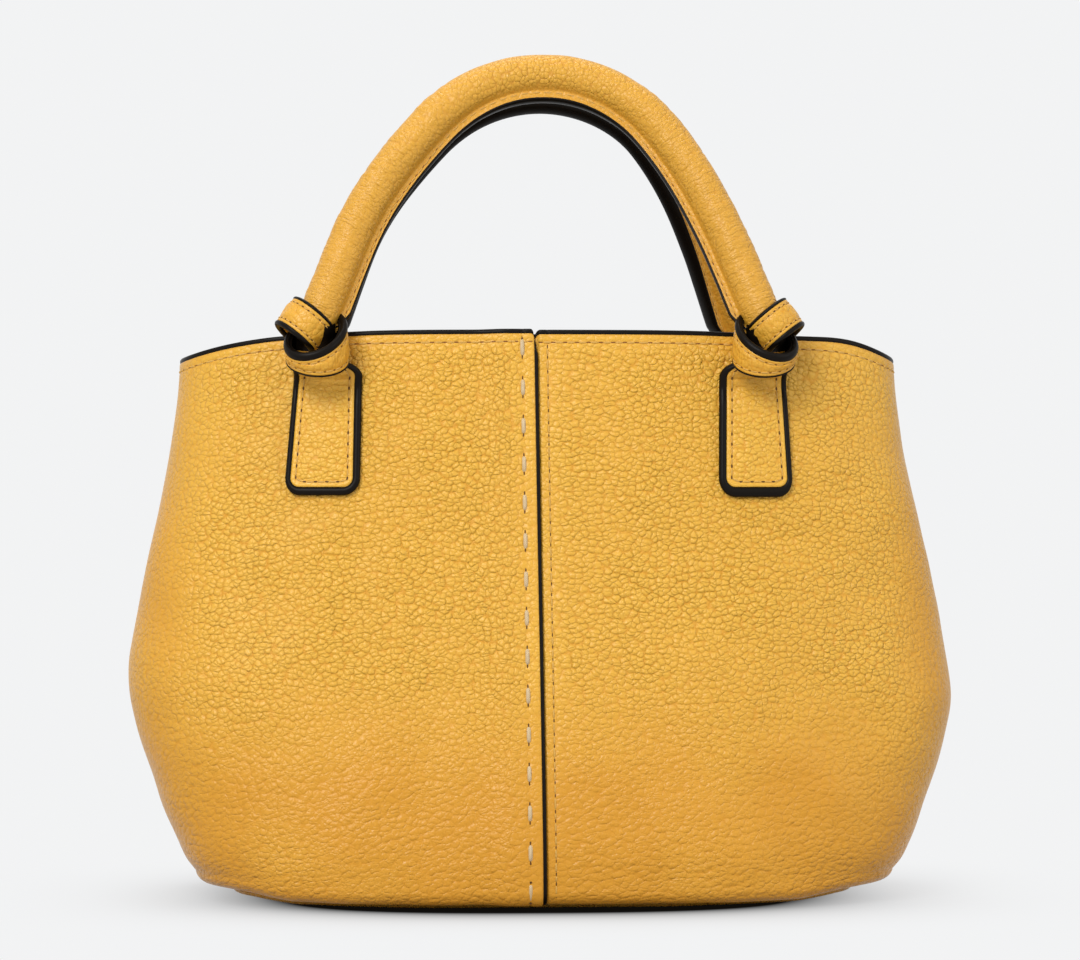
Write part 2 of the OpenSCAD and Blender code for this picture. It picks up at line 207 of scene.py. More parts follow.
def joined(parts):
    points, faces, start = [], [], 0
    for somePoints, someFaces in parts:
        points.append(somePoints)
        faces += [[i + start for i in face] for face in someFaces]
        start += len(somePoints)
    return np.concatenate(points), faces


def makePiece(name, shape, material, sharp=50, values=None, recalc=True):
    points, faces = shape
    mesh = bpy.data.meshes.new(name)
    mesh.from_pydata(np.asarray(points, float).tolist(), [], faces)
    if recalc:
        soft = bmesh.new()
        soft.from_mesh(mesh)
        bmesh.ops.recalc_face_normals(soft, faces=soft.faces)
        soft.to_mesh(mesh)
        soft.free()
    for key, value in (values or {}).items():
        held = mesh.attributes.new(key, "FLOAT_VECTOR", "POINT")
        held.data.foreach_set("vector", np.ascontiguousarray(value, np.float32).ravel())
    for face in mesh.polygons:
        face.use_smooth = True
    mesh.set_sharp_from_angle(angle=math.radians(sharp))
    mesh.materials.append(material)
    piece = bpy.data.objects.new(name, mesh)
    bpy.context.scene.collection.objects.link(piece)
    return piece


# small helpers for materials

def feed(tree, node, feeds):
    for key, value in feeds.items():
        if isinstance(value, bpy.types.NodeSocket):
            tree.links.new(value, node.inputs[key])
        else:
            node.inputs[key].default_value = value


def wire(tree, kind, sets, feeds):
    made = tree.nodes.new(kind)
    for key, value in sets.items():
        setattr(made, key, value)
    feed(tree, made, feeds)
    return made


def maths(tree, kind, a, b=0.0):
    return wire(tree, "ShaderNodeMath", {"operation": kind}, {0: a, 1: b}).outputs[0]


def times(tree, a, b):
    return maths(tree, "MULTIPLY", a, b)


def plus(tree, a, b):
    return maths(tree, "ADD", a, b)


def lessOne(tree, value):
    return maths(tree, "SUBTRACT", 1.0, value)


def ranged(tree, value, low, high, outLow=0.0, outHigh=1.0, kind="SMOOTHSTEP"):
    feeds = {"Value": value, "From Min": low, "From Max": high, "To Min": outLow, "To Max": outHigh}
    return wire(tree, "ShaderNodeMapRange", {"interpolation_type": kind}, feeds).outputs["Result"]


def evenly(tree, value, low, high, outLow=0.0, outHigh=1.0):
    return ranged(tree, value, low, high, outLow, outHigh, "LINEAR")


def mixed(tree, share, a, b):
    # colour inputs of a mix node stand at 6 and 7, its colour output at 2
    return wire(tree, "ShaderNodeMix", {"data_type": "RGBA"}, {0: share, 6: a, 7: b}).outputs[2]


def vectors(tree, kind, feeds):
    return wire(tree, "ShaderNodeVectorMath", {"operation": kind}, feeds).outputs[0]


def noise(tree, place, scale, detail=2.0, out="Fac"):
    feeds = {"Vector": place, "Scale": scale, "Detail": detail}
    return wire(tree, "ShaderNodeTexNoise", {}, feeds).outputs[out]


def blankMaterial(name):
    made = bpy.data.materials.new(name)
    made.use_nodes = True
    tree = made.node_tree
    tree.nodes.clear()
    end = tree.nodes.new("ShaderNodeOutputMaterial")
    shader = tree.nodes.new("ShaderNodeBsdfPrincipled")
    tree.links.new(shader.outputs[0], end.inputs[0])
    return made, tree, shader


def placeOf(tree, name="place"):
    # the piece's own flat coordinates, or the object's for parts kept from the CAD
    if name:
        return wire(tree, "ShaderNodeAttribute", {"attribute_name": name}, {}).outputs["Vector"]
    return wire(tree, "ShaderNodeTexCoord", {}, {}).outputs["Object"]


def raised(tree, height, depth):
    feeds = {"Height": height, "Distance": depth, "Strength": 1.0}
    return wire(tree, "ShaderNodeBump", {}, feeds).outputs[0]


def leather(name, look):
    # pebbled grain on the piece's own flat coordinates, drawn out into creases where it was pulled
    made, tree, shader = blankMaterial(name)
    place = placeOf(tree)
    calm, pull, wearAndShade = wire(tree, "ShaderNodeSeparateXYZ", {}, {"Vector": placeOf(tree, "mask")}).outputs
    wander = noise(tree, place, 0.6 / look["cell"], out="Color")
    shift = vectors(tree, "SUBTRACT", {0: wander, 1: (0.5, 0.5, 0.5)})
    shift = vectors(tree, "SCALE", {0: shift, "Scale": look["cell"] * look["wander"]})
    bent = vectors(tree, "ADD", {0: place, 1: shift})

    def cells(vector, size, feature):
        sets = {"voronoi_dimensions": "2D", "feature": feature}
        return wire(tree, "ShaderNodeTexVoronoi", sets, {"Vector": vector, "Scale": 1 / size}).outputs

    def stretched(scale, turn=0.0):
        feeds = {"Vector": bent, "Rotation": (0, 0, turn), "Scale": scale}
        return wire(tree, "ShaderNodeMapping", {"vector_type": "TEXTURE"}, feeds).outputs[0]

    def bump(vector, size):
        # a cushion round each cell's middle, cut by the folds between the cells
        middle = cells(vector, size, "F1")
        away = evenly(tree, middle["Distance"], 0.0, 0.72)
        cushion = lessOne(tree, maths(tree, "POWER", away, 1.8))
        each = wire(tree, "ShaderNodeSeparateColor", {}, {"Color": middle["Color"]}).outputs[0]
        near = lessOne(tree, evenly(tree, cells(vector, size, "DISTANCE_TO_EDGE")["Distance"], 0.0, 0.26))
        fold = lessOne(tree, maths(tree, "POWER", near, look["round"]))
        both = plus(tree, times(tree, cushion, 0.76), times(tree, fold, 0.24))
        return times(tree, both, evenly(tree, each, 0.0, 1.0, 0.62, 1.0))

    squat = stretched(look["squat"])
    pebble = times(tree, bump(squat, look["cell"]), 0.85)
    pebble = plus(tree, pebble, times(tree, bump(squat, look["cell"] * 0.52), 0.15))
    # creases run along the pull
    crease = bump(stretched(look["creaseScale"], look["creaseTurn"]), look["cell"] * 0.9)
    both = plus(tree, times(tree, crease, 0.60), times(tree, pebble, 0.40))
    height = wire(tree, "ShaderNodeMix", {"data_type": "FLOAT"}, {0: pull, 2: pebble, 3: both}).outputs[0]
    drift = noise(tree, place, 42.0)
    loud = ranged(tree, drift, 0.35, 0.68, 1.0, 0.78)
    loud = times(tree, loud, evenly(tree, calm, 0.0, 1.0, 1.0, look["calmest"]))
    loud = times(tree, loud, evenly(tree, pull, 0.0, 1.0, 1.0, look["pulledCalm"]))
    dust = noise(tree, place, 1500.0, 3.0)
    grain = plus(tree, times(tree, height, loud), times(tree, dust, look["dust"]))
    # painted shade: darker, redder valleys in the grain, and a slow drift of the dye
    valley = times(tree, ranged(tree, height, 0.0, 0.5, 1.0, 0.0), loud)
    colour = mixed(tree, times(tree, valley, look["valleyShare"]), look["colour"], look["valley"])
    colour = mixed(tree, ranged(tree, drift, 0.3, 0.72, 0.0, 0.25), colour, look["drift"])
    colour = mixed(tree, times(tree, pull, 0.70), colour, look["pulled"])
    rough = evenly(tree, valley, 0.0, 1.0, look["rough"], look["rough"] + 0.16)
    # the mask's third part mixes in a darker colour: wear at the edges, and painted shade low on the wall
    feed(tree, shader, {
        "Base Color": mixed(tree, wearAndShade, colour, look["rubbed"]), "Normal": raised(tree, grain, look["relief"]),
        "Roughness": plus(tree, rough, times(tree, dust, 0.08)), "Specular IOR Level": 0.38,
        "Coat Weight": 0.05, "Coat Roughness": 0.26})
    return made


def speckled(name, colour, other, size, rough, relief, metallic=0.0, place="place", shine=0.4):
    made, tree, shader = blankMaterial(name)
    speck = noise(tree, placeOf(tree, place), 1 / size, 3.0)
    feed(tree, shader, {
        "Base Color": mixed(tree, ranged(tree, speck, 0.35, 0.65), colour, other),
        "Roughness": ranged(tree, speck, 0.2, 0.8, rough - 0.06, rough + 0.06),
        "Metallic": metallic, "Specular IOR Level": shine, "Normal": raised(tree, speck, relief)})
    return made


def woven(name, colour, dark, pitch, relief, rough=0.9, place="place", turn=0.0, ways=("X", "Y")):
    # threads over and under each other, or side by side where they run one way only
    made, tree, shader = blankMaterial(name)
    feeds = {"Vector": placeOf(tree, place), "Rotation": (0, 0, turn)}
    spot = wire(tree, "ShaderNodeMapping", {}, feeds).outputs[0]
    bands = []
    for way in ways:
        sets = {"wave_type": "BANDS", "bands_direction": way, "wave_profile": "SIN"}
        feeds = {"Vector": spot, "Scale": 0.314 / pitch, "Distortion": 0.6, "Detail Scale": 2.0}
        bands.append(wire(tree, "ShaderNodeTexWave", sets, feeds).outputs["Fac"])
    weave = times(tree, *bands) if len(bands) > 1 else bands[0]
    share = plus(tree, times(tree, weave, 0.7), times(tree, noise(tree, spot, 0.6 / pitch, 3.0), 0.4))
    feed(tree, shader, {
        "Base Color": mixed(tree, ranged(tree, share, 0.1, 0.9), dark, colour),
        "Roughness": rough, "Normal": raised(tree, share, relief)})
    return made


# the valley colours are painted shade for the grain's hollows
leatherLook = dict(
    cell=0.0019, wander=1.1, relief=0.00085, calmest=0.35, valleyShare=0.78, rough=0.31, round=2.0, dust=0.05,
    pulledCalm=0.68, squat=(1.12, 0.88, 1.0), creaseTurn=0.30, creaseScale=(1.9, 1.15, 1.0),
    colour=(0.860, 0.470, 0.052, 1), valley=(0.715, 0.295, 0.012, 1),
    # the rubbed colour stands for wear and for painted shade low on the wall
    drift=(0.770, 0.370, 0.034, 1), pulled=(0.672, 0.280, 0.013, 1), rubbed=(0.66, 0.30, 0.030, 1))
leftLeather = leather("pebbled_leather_left", leatherLook)
rightLeather = leather("pebbled_leather_right", dict(leatherLook, creaseTurn=-0.28))
# the handle's copy of the leather is darker than the body's: painted shade
shadedHandleLeather = leather("pebbled_leather_handle", dict(
    leatherLook, cell=0.0017, relief=0.00064, creaseTurn=0.0, creaseScale=(2.9, 0.66, 1.0), pulledCalm=1.0,
    colour=(0.800, 0.418, 0.044, 1), valley=(0.560, 0.200, 0.008, 1), pulled=(0.700, 0.345, 0.034, 1)))
# the tab's copy of the leather is a little lighter than the body's: painted light against the shade the knots
# cast on the tabs
litTabLeather = leather("pebbled_leather_tab", dict(
    leatherLook, cell=0.0017, relief=0.00058, creaseTurn=0.0, creaseScale=(2.8, 0.70, 1.0),
    colour=(0.880, 0.488, 0.056, 1)))
strapLeather = leather("pebbled_leather_strap", dict(
    leatherLook, cell=0.0016, relief=0.00036, creaseTurn=1.35, creaseScale=(2.4, 0.9, 1.0), pulledCalm=1.0))
facingLeather = leather("smooth_facing_leather", dict(
    leatherLook, cell=0.0016, relief=0.00014, rough=0.5, colour=(0.73, 0.38, 0.05, 1)))
edgePaint = speckled("black_edge_paint", (0.0046, 0.0030, 0.0018, 1), (0.0080, 0.0055, 0.0036, 1),
                     0.004, 0.38, 0.00008, shine=0.10)
creamThread = woven("cream_waxed_thread", (0.83, 0.67, 0.42, 1), (0.50, 0.33, 0.15, 1),
                    0.00045, 0.00008, 0.55, turn=0.7, ways=("X",))
tanThread = woven("tan_machine_thread", (0.80, 0.49, 0.11, 1), (0.60, 0.30, 0.045, 1),
                  0.0003, 0.00005, 0.6, turn=0.7, ways=("X",))
# needle holes: dark dishes painted with the shade inside the holes
holeShade = speckled("needle_hole", (0.105, 0.038, 0.006, 1), (0.15, 0.058, 0.009, 1), 0.0008, 0.8, 0.00002)
softHoleShade = speckled("soft_needle_mark", (0.28, 0.105, 0.013, 1), (0.22, 0.080, 0.010, 1),
                    0.0008, 0.7, 0.00002)
liningCloth = woven("cotton_twill_lining", (0.40, 0.275, 0.14, 1), (0.22, 0.145, 0.065, 1),
                    0.0006, 0.00008, turn=0.78)
fibreBoard = speckled("fibre_board", (0.20, 0.15, 0.11, 1), (0.30, 0.25, 0.19, 1),
                      0.0012, 0.85, 0.0001, place="")
seamTape = woven("woven_tape", (0.34, 0.28, 0.22, 1), (0.17, 0.13, 0.10, 1), 0.0008, 0.00008, place="")
cottonCord = woven("cotton_cord_core", (0.74, 0.69, 0.59, 1), (0.50, 0.44, 0.34, 1),
                   0.0014, 0.0002, 0.95, turn=0.6)
snapMetal = speckled("light_gold_plate", (0.74, 0.60, 0.34, 1), (0.66, 0.52, 0.28, 1),
                     0.0009, 0.24, 0.00001, metallic=1.0)
print("materials:", len(bpy.data.materials))


# how the soft body hangs: in on its lower left, its rim a little higher, its corners off the floor
hang = dict(
    leftIn=0.0033, leftBelow=0.084, leftFade=0.024, leftReach=0.12, rim=0.0008, rimFrom=0.170, rimFade=0.019,
    rimPeaks=((0.0022, 0.105, 0.016), (0.0004, -0.105, 0.022)), cornerReach=0.106, cornerFade=0.022,
    corner=((0, 0), (0.40, 0), (0.57, 0.0004), (0.80, 0.0010), (0.93, 0.0026), (1, 0.0028)))


def sag(piece):
    points = np.zeros(len(piece.data.vertices) * 3)
    piece.data.vertices.foreach_get("co", points)
    points = points.reshape(-1, 3)
    x, _, z = points.T.copy()
    left = np.clip(-x / hang["leftReach"], 0, 1) ** 2
    points[:, 0] += hang["leftIn"] * ease((hang["leftBelow"] - z) / hang["leftFade"]) * left
    rise = hang["rim"] + sum(high * hump(x - at, wide) for high, at, wide in hang["rimPeaks"])
    corner = np.interp(np.abs(x) / hang["cornerReach"], *np.transpose(hang["corner"]))
    rise = rise * ease((z - hang["rimFrom"]) / hang["rimFade"])
    points[:, 2] += rise + corner * ease(1 - z / hang["cornerFade"])
    piece.data.vertices.foreach_set("co", points.ravel())
    piece.data.update()


def settle(piece, body, nodes=(), bend=None):
    # a piece on the bag sags with it; a bending piece keeps its place with its transform baked, any other is
    # hung on its body; the CAD parts it stands for are hidden
    if body == "bag":
        sag(piece)
    if bend is not None:
        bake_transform(piece)
    else:
        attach(piece, body)
    if nodes:
        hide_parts(*nodes)
    return piece


def put(name, shape, material, body, slot, nodes=(), turn=False, bend=None, sharp=50, **values):
    # a piece made, turned round where it belongs to the back, and settled
    points, faces = shape
    shape = (turned(points) if turn else points, faces)
    return settle(makePiece(name, shape, material, sharp, values), body, nodes, bend)


# the bag's body: a wall of rounded plan whose width and depth follow shares of the height
form = dict(
    width=0.280, rim=0.190, depth=0.118, mouth=0.076, sideDrop=0.009, turn=0.005, under=0.008,
    floorGap=0.0003, edge=0.0015, dipOut=4, dipDown=3, mouthSquare=3.0, floorSquare=3.8,
    widthShares=[(0.028, 0.852), (0.05, 0.869), (0.1, 0.894), (0.2, 0.947), (0.3, 0.988), (0.37, 1),
                 (0.45, 0.986), (0.55, 0.961), (0.65, 0.934), (0.75, 0.909), (0.85, 0.887),
                 (0.93, 0.874), (1, 0.868)],
    spreadShares=[(0.028, 0.96), (0.08, 1), (0.2, 0.94), (0.3, 0.83), (0.45, 0.65), (0.55, 0.51),
                  (0.65, 0.38), (0.75, 0.27), (0.85, 0.16), (0.93, 0.07), (1, 0)])
panel = dict(
    thick=0.0018, gap=0.0002, lap=0.010, climb=0.013, lift=0.0020, cornerRound=0.0014, seamGap=0.0007,
    seamTop=-0.0032, seamFoot=-0.0011, seamFade=0.030, rimStitch=0.0027, saddle=0.0042, fineStitch=0.0042,
    sideRoll=0.0018, footLift=0.0018, cornerLift=0.0016, wave=0.00055, facing=0.0012, facingHeight=0.026,
    lining=0.0006, dent=0.0009)
footShare = (form["turn"] + form["floorGap"]) / form["rim"]


def fromShares(shares, at):
    # a smooth curve through the shares
    xs, ys = np.array(shares, float).T
    slope = np.gradient(ys, xs)
    i = np.clip(np.searchsorted(xs, at) - 1, 0, len(xs) - 2)
    run = xs[i + 1] - xs[i]
    t = np.clip((at - xs[i]) / run, 0, 1)
    a = (1 + 2 * t) * (1 - t) ** 2
    b = t * (1 - t) ** 2
    c = t * t * (3 - 2 * t)
    d = t * t * (t - 1)
    return a * ys[i] + b * run * slope[i] + c * ys[i + 1] + d * run * slope[i + 1]


def halfWidth(share):
    return form["width"] / 2 * fromShares(form["widthShares"], share)


def halfDepth(share):
    spread = fromShares(form["spreadShares"], share)
    return form["mouth"] / 2 + (form["depth"] - form["mouth"]) / 2 * spread


def squareness(share):
    return form["floorSquare"] + (form["mouthSquare"] - form["floorSquare"]) * share


def dipped(share, s):
    return form["rim"] * share - form["sideDrop"] * np.abs(s) ** form["dipOut"] * share ** form["dipDown"]


def wallY(x, z):
    # depth of the front wall's outer face at a width and a height
    x, z = np.broadcast_arrays(np.asarray(x, float), np.asarray(z, float))
    share = z / form["rim"]
    for _ in range(4):
        s = np.clip(np.abs(x) / halfWidth(share), 0, 0.999)
        dip = form["sideDrop"] * s ** form["dipOut"] * share ** form["dipDown"]
        share = np.clip((z + dip) / form["rim"], 0, 1)
    n = squareness(share)
    s = np.clip(np.abs(x) / halfWidth(share), 0, 0.999)
    return -halfDepth(share) * (1 - s ** n) ** (1 / n)


def ringRun(share, inset):
    # one row of the wall from the middle of the front to the side: x, y and length so far
    t = np.linspace(0, math.pi / 2, 321)[None, :]
    k = squared(t, squareness(share)[:, None])
    x = (halfWidth(share) - inset)[:, None] * k * np.sin(t)
    y = -(halfDepth(share) - inset)[:, None] * k * np.cos(t)
    step = np.hypot(np.diff(x, axis=1), np.diff(y, axis=1))
    run = np.concatenate([np.zeros((len(share), 1)), np.cumsum(step, axis=1)], axis=1)
    return x, y, run


def wallGrid(drops, turns, reaches, columnsOf, depth=0.0, lifted=True):
    # rows go down the wall by drops below the leather's top edge, round the bottom turn and under the base
    wall = (form["rim"] - form["edge"] - np.asarray(drops)) / form["rim"]
    share = np.concatenate([wall, np.full(len(turns) + len(reaches), footShare)])
    phi = np.radians(np.concatenate([np.zeros(len(wall)), turns, np.full(len(reaches), 90.0)]))
    reach = np.concatenate([np.zeros(len(wall) + len(turns)), reaches])
    inset = form["turn"] * (1 - np.cos(phi)) + reach + depth * np.cos(phi)
    xs, ys, runs = ringRun(share, inset)
    full = runs[:, -1]
    e, signed = columnsOf(full, share)
    x = np.empty_like(e)
    y = np.empty_like(e)
    for r in range(len(share)):
        x[r] = np.sign(signed[r]) * np.interp(np.abs(signed[r]), runs[r], xs[r])
        y[r] = np.interp(np.abs(signed[r]), runs[r], ys[r])
    s = x / xs[:, -1:]
    z = dipped(share[:, None], s)
    low = form["floorGap"] + form["turn"] * (1 - np.sin(phi)) + depth * np.sin(phi)
    z = np.where(phi[:, None] > 0, low[:, None], z)
    if lifted:
        lifting = panel["footLift"] + panel["cornerLift"] * ease((np.abs(s) - 0.72) / 0.28)
        z = z + lifting * ease(1 - share[:, None] / 0.16)
    points = np.stack([x, y, z], -1)
    return dict(points=points, e=e, side=full[:, None] - np.abs(signed), phi=phi[:, None] + 0 * e)


def finishGrid(grid):
    # normals and the run down each column
    points = grid["points"]
    normal = unit(np.cross(np.gradient(points, axis=1), np.gradient(points, axis=0)))
    middle = len(normal) // 3, normal.shape[1] // 2
    if np.dot(normal[middle][:2], points[middle][:2]) < 0:
        normal = -normal
    step = np.linalg.norm(np.diff(points, axis=0), axis=2)
    grid["drop"] = np.concatenate([np.zeros((1, step.shape[1])), np.cumsum(step, axis=0)])
    grid["normal"] = normal
    return grid


panelRows = dict(
    drops=np.concatenate([[0, 0.0002, 0.0005, 0.0009], np.arange(0.0013, 0.0066, 0.0004),
                          np.linspace(0.0072, 0.168, 116), np.linspace(0.1693, 0.1832, 12)]),
    turns=np.linspace(10, 90, 9), reaches=np.linspace(0.0013, 0.008, 6))
nearColumns = np.concatenate([[0, 0.0002, 0.0005, 0.0009], np.arange(0.0013, 0.0188, 0.0005)])
endColumns = np.array([0.0040, 0.0033, 0.0027, 0.0022, 0.0017, 0.0013, 0.0009, 0.0005, 0.0002, 0.0])


def seamShift(share, e):
    # the lap's edge leans a little, more to the left at the rim
    lean = panel["seamFoot"] + (panel["seamTop"] - panel["seamFoot"]) * share
    return lean * (1 - ease(np.abs(e) / panel["seamFade"]))


def panelColumns(upper):
    def columnsOf(full, share):
        middle = np.linspace(0, 1, 104)[1:-1]
        e = np.concatenate([
            np.broadcast_to(nearColumns, (len(full), len(nearColumns))),
            nearColumns[-1] + (full[:, None] - endColumns[0] - nearColumns[-1]) * middle,
            full[:, None] - endColumns], axis=1)
        if not upper:
            under = np.linspace(-panel["lap"], -0.0006, 9)
            e = np.concatenate([np.broadcast_to(under, (len(full), len(under))), e], axis=1)
        shift = seamShift(share[:, None], e)
        return e, (-e if upper else e) + shift
    return columnsOf


# where the handles' knots and tabs stand, from the run of the handle
handle = dict(
    tube=0.0132, outward=0.00065, topR=0.049, topAngle=49.5, sideR=0.152, legAngle=21, legLen=0.0303,
    lean=15.5, flange=0.0029, flangeFoot=0.0031, flangeCut=0.0100, legCut=0.0020,
    front=dict(thick=0.0044, twist=(22, 18, 4), shift=(-0.0012, 0.0008)),
    back=dict(thick=0.0054, twist=(40, 58, 53), shift=(0.0010, -0.0020)))
knot = dict(stand=0.0126, neckWidth=0.014)
topA, legA = math.radians(handle["topAngle"]), math.radians(handle["legAngle"])
sideTurn = math.pi / 2 - legA
knotX = (handle["topR"] * math.sin(topA) + handle["sideR"] * (math.sin(sideTurn) - math.sin(topA))
         + handle["legLen"] * math.sin(legA))
archHeight = (handle["topR"] * (1 - math.cos(topA)) + handle["sideR"] * (math.cos(topA) - math.cos(sideTurn))
              + handle["legLen"] * math.cos(legA))
knotY = float(wallY(knotX, form["rim"])) - knot["stand"]
hinge = [j for j in frame["joints"] if j["name"] == "front_handle_swing"][0]["pos_m"]
hingeY, hingeZ = hinge[1], hinge[2]
print("knots at x %.2f y %.2f mm, bending line y %.2f z %.2f mm" % (
    knotX * 1000, knotY * 1000, hingeY * 1000, hingeZ * 1000))


def panelShape(upper, seed):
    grid = finishGrid(wallGrid(columnsOf=panelColumns(upper), **panelRows))
    points, normal = grid["points"], grid["normal"]
    e, drop, side = grid["e"], grid["drop"], grid["side"]
    flat = np.cos(grid["phi"])
    x, z = points[..., 0], points[..., 2]
    # the corner at the rim's notch is rounded
    cut = roundOff(np.maximum(e if upper else e - panel["seamGap"], 0), panel["cornerRound"])
    points[..., 2] -= cut * np.clip(1 - drop / 0.007, 0, 1)
    relief = -0.00022 * hump(drop - panel["rimStitch"], 0.00045) + 0.00010 * hump(drop - 0.0011, 0.0010)
    relief = relief - 0.00020 * np.clip(1 - drop / 0.0006, 0, 1) ** 2 - roundOff(side, panel["sideRoll"])
    lift = 0 * e
    if upper:
        lift = panel["lift"] * flat * (1 - ease((e - panel["lap"]) / panel["climb"]))
        relief = relief - 0.00025 * hump(e - panel["saddle"], 0.0006) + 0.00008 * hump(e - 0.0018, 0.0012)
        relief = relief - 0.00040 * np.clip(1 - e / 0.0006, 0, 1) ** 2
    else:
        relief = relief - 0.00060 * (1 - ease((e - 0.0009) / 0.0010))
        relief = relief - 0.00020 * hump(e - panel["fineStitch"], 0.00045)
    # soft unevenness of the wall, quiet beside seams and tabs
    sway = ripples(seed, 14, 0.030, 0.095)(x, z) + 0.35 * ripples(seed + 1, 12, 0.014, 0.030)(x, z)
    quiet = ease((drop - 0.010) / 0.030) * ease((np.abs(e) - 0.012) / 0.030) * ease(side / 0.020)
    nearTab = hump(np.maximum(np.abs(np.abs(x) - tab["x"]) - 0.012, 0), 0.006) * ease((z - 0.122) / 0.010)
    relief = relief + panel["wave"] * sway * quiet * (1 - nearTab) * (0.35 + 0.65 * flat)
    # the knots press the wall in and draw small wrinkles beside them
    dx, dz = np.abs(x) - knotX, z - 0.183
    away = np.hypot(dx, dz)
    relief = relief - panel["dent"] * hump(away, 0.0105) * flat
    rays = np.cos(11 * np.arctan2(dz, dx) + 1.3 * seed + 60 * away)
    relief = relief + 0.00020 * rays * hump(away - 0.0155, 0.0042) * (1 - nearTab * ease((0.172 - z) / 0.004))
    outer = points + normal * (lift + relief)[..., None]
    inner = points + normal * (lift - panel["thick"])[..., None]
    calm = np.maximum.reduce([
        ease(1 - drop / 0.008), 0.85 * ease(1 - np.abs(e) / 0.012), 0.7 * ease(1 - side / 0.012),
        0.55 * ease((np.abs(x) - 0.098) / 0.018) * ease((z - 0.110) / 0.05)])
    pull = np.maximum(ease((0.088 - z) / 0.060), 0.6 * ease((np.abs(x) - 0.110) / 0.02))
    pull = np.clip(pull + 0.25 * ripples(seed + 7, 10, 0.03, 0.08)(x, z) * pull, 0, 1)
    # wear along the top edge, and painted shade over the lowest 12 mm where the wall rolls under
    wearAndShade = np.maximum(0.5 * ease(1 - drop / 0.0012), 0.35 * ease((0.012 - z) / 0.012))
    grid.update(outer=outer, inner=inner)
    values = {"place": twice(field(e + 0.4 * seed, drop)), "mask": twice(field(calm, pull, wearAndShade))}
    return grid, closedSkin(outer, inner), values


def onPanel(grid, e, drop):
    # points and normals of the outer face at distances from the seam and below the rim
    rows, cols = grid["e"].shape
    found, normals = [], []
    for oneE, oneDrop in np.broadcast(e, drop):
        r = 0.0
        for _ in range(4):
            k = min(int(r), rows - 2)
            f = r - k
            c = np.interp(oneE, (1 - f) * grid["e"][k] + f * grid["e"][k + 1], np.arange(cols))
            m = min(int(c), cols - 2)
            g = c - m
            r = np.interp(oneDrop, (1 - g) * grid["drop"][:, m] + g * grid["drop"][:, m + 1], np.arange(rows))
        k = min(int(r), rows - 2)
        f = r - k
        for values, into in ((grid["outer"], found), (grid["normal"], normals)):
            low = (1 - g) * values[k, m] + g * values[k, m + 1]
            high = (1 - g) * values[k + 1, m] + g * values[k + 1, m + 1]
            into.append((1 - f) * low + f * high)
    return np.array(found), unit(np.array(normals))


# stitches: short threads that come out of one needle hole and go into the next

def threadRow(starts, stops, normals, radius, rise=0.45, sink=0.7, flat=0.85):
    # one bowed thread from each start to its stop
    t = np.linspace(0, 1, 9)
    bow = np.sin(math.pi * t)
    girth = radius * np.sqrt(np.clip(1 - (2 * t - 1) ** 6, 0.02, 1))
    around = np.linspace(0, math.tau, 8, endpoint=False)
    parts, places = [], []
    for k, (a, b, n) in enumerate(zip(starts, stops, normals)):
        line = a + (b - a) * t[:, None] + n * (radius * (rise * bow - sink * (1 - bow) ** 3))[:, None]
        parts.append(loft(ovals(line, unit(np.cross(n, unit(b - a))), n, girth, girth * flat, len(around))))
        run = t * np.linalg.norm(b - a) + 0.013 * k
        places.append(field(run[:, None], around * radius))
    return joined(parts), np.concatenate(places)


def holeRow(points, ways, normals, length, width, high=0.00004):
    # a small dark dish at each needle hole, lying just proud of the leather: painted shade for the hole
    around = np.linspace(0, math.tau, 12, endpoint=False)[:, None]
    parts = []
    for p, way, n in zip(points, ways, normals):
        flat = np.cos(around) * way * length / 2 + np.sin(around) * unit(np.cross(n, way)) * width / 2
        rings = [p + flat - n * 0.0002, p + flat + n * high * 0.2, p + flat * 0.6 + n * high]
        parts.append(loft(np.array(rings)))
    return joined(parts)


def sewLine(name, line, normals, pitch, length, radius, body, seed, turn=False, mark=(0.0013, 0.0006),
            bend=None, jitter=0.06, dark=holeShade):
    # a seam along a line: threads of one length with a dark needle mark, painted shade for the hole, between
    # each two
    draw = np.random.default_rng(seed)
    run = along(line)
    count = max(int(run[-1] / pitch), 1)
    marks = (np.arange(count + 1) + draw.uniform(-jitter, jitter, count + 1)) * run[-1] / count
    marks = np.clip(marks, 0, run[-1] - 0.0005)
    bare = (pitch - length) / 2

    def at(where, what):
        return np.stack([np.interp(where, run, what[:, i]) for i in range(3)], 1)
    up = unit(at((marks[:-1] + marks[1:]) / 2, normals))
    shape, place = threadRow(at(marks[:-1] + bare, line), at(marks[1:] - bare, line), up, radius)
    put(name, shape, tanThread, body, "thick_thread", turn=turn, bend=bend, place=place)
    ways = unit(at(marks + 0.0004, line) - at(marks - 0.0004, line))
    shape = holeRow(at(marks, line), ways, unit(at(marks, normals)), *mark)
    put(name + "_marks", shape, dark, body, "thick_thread", turn=turn, bend=bend, place=shape[0])


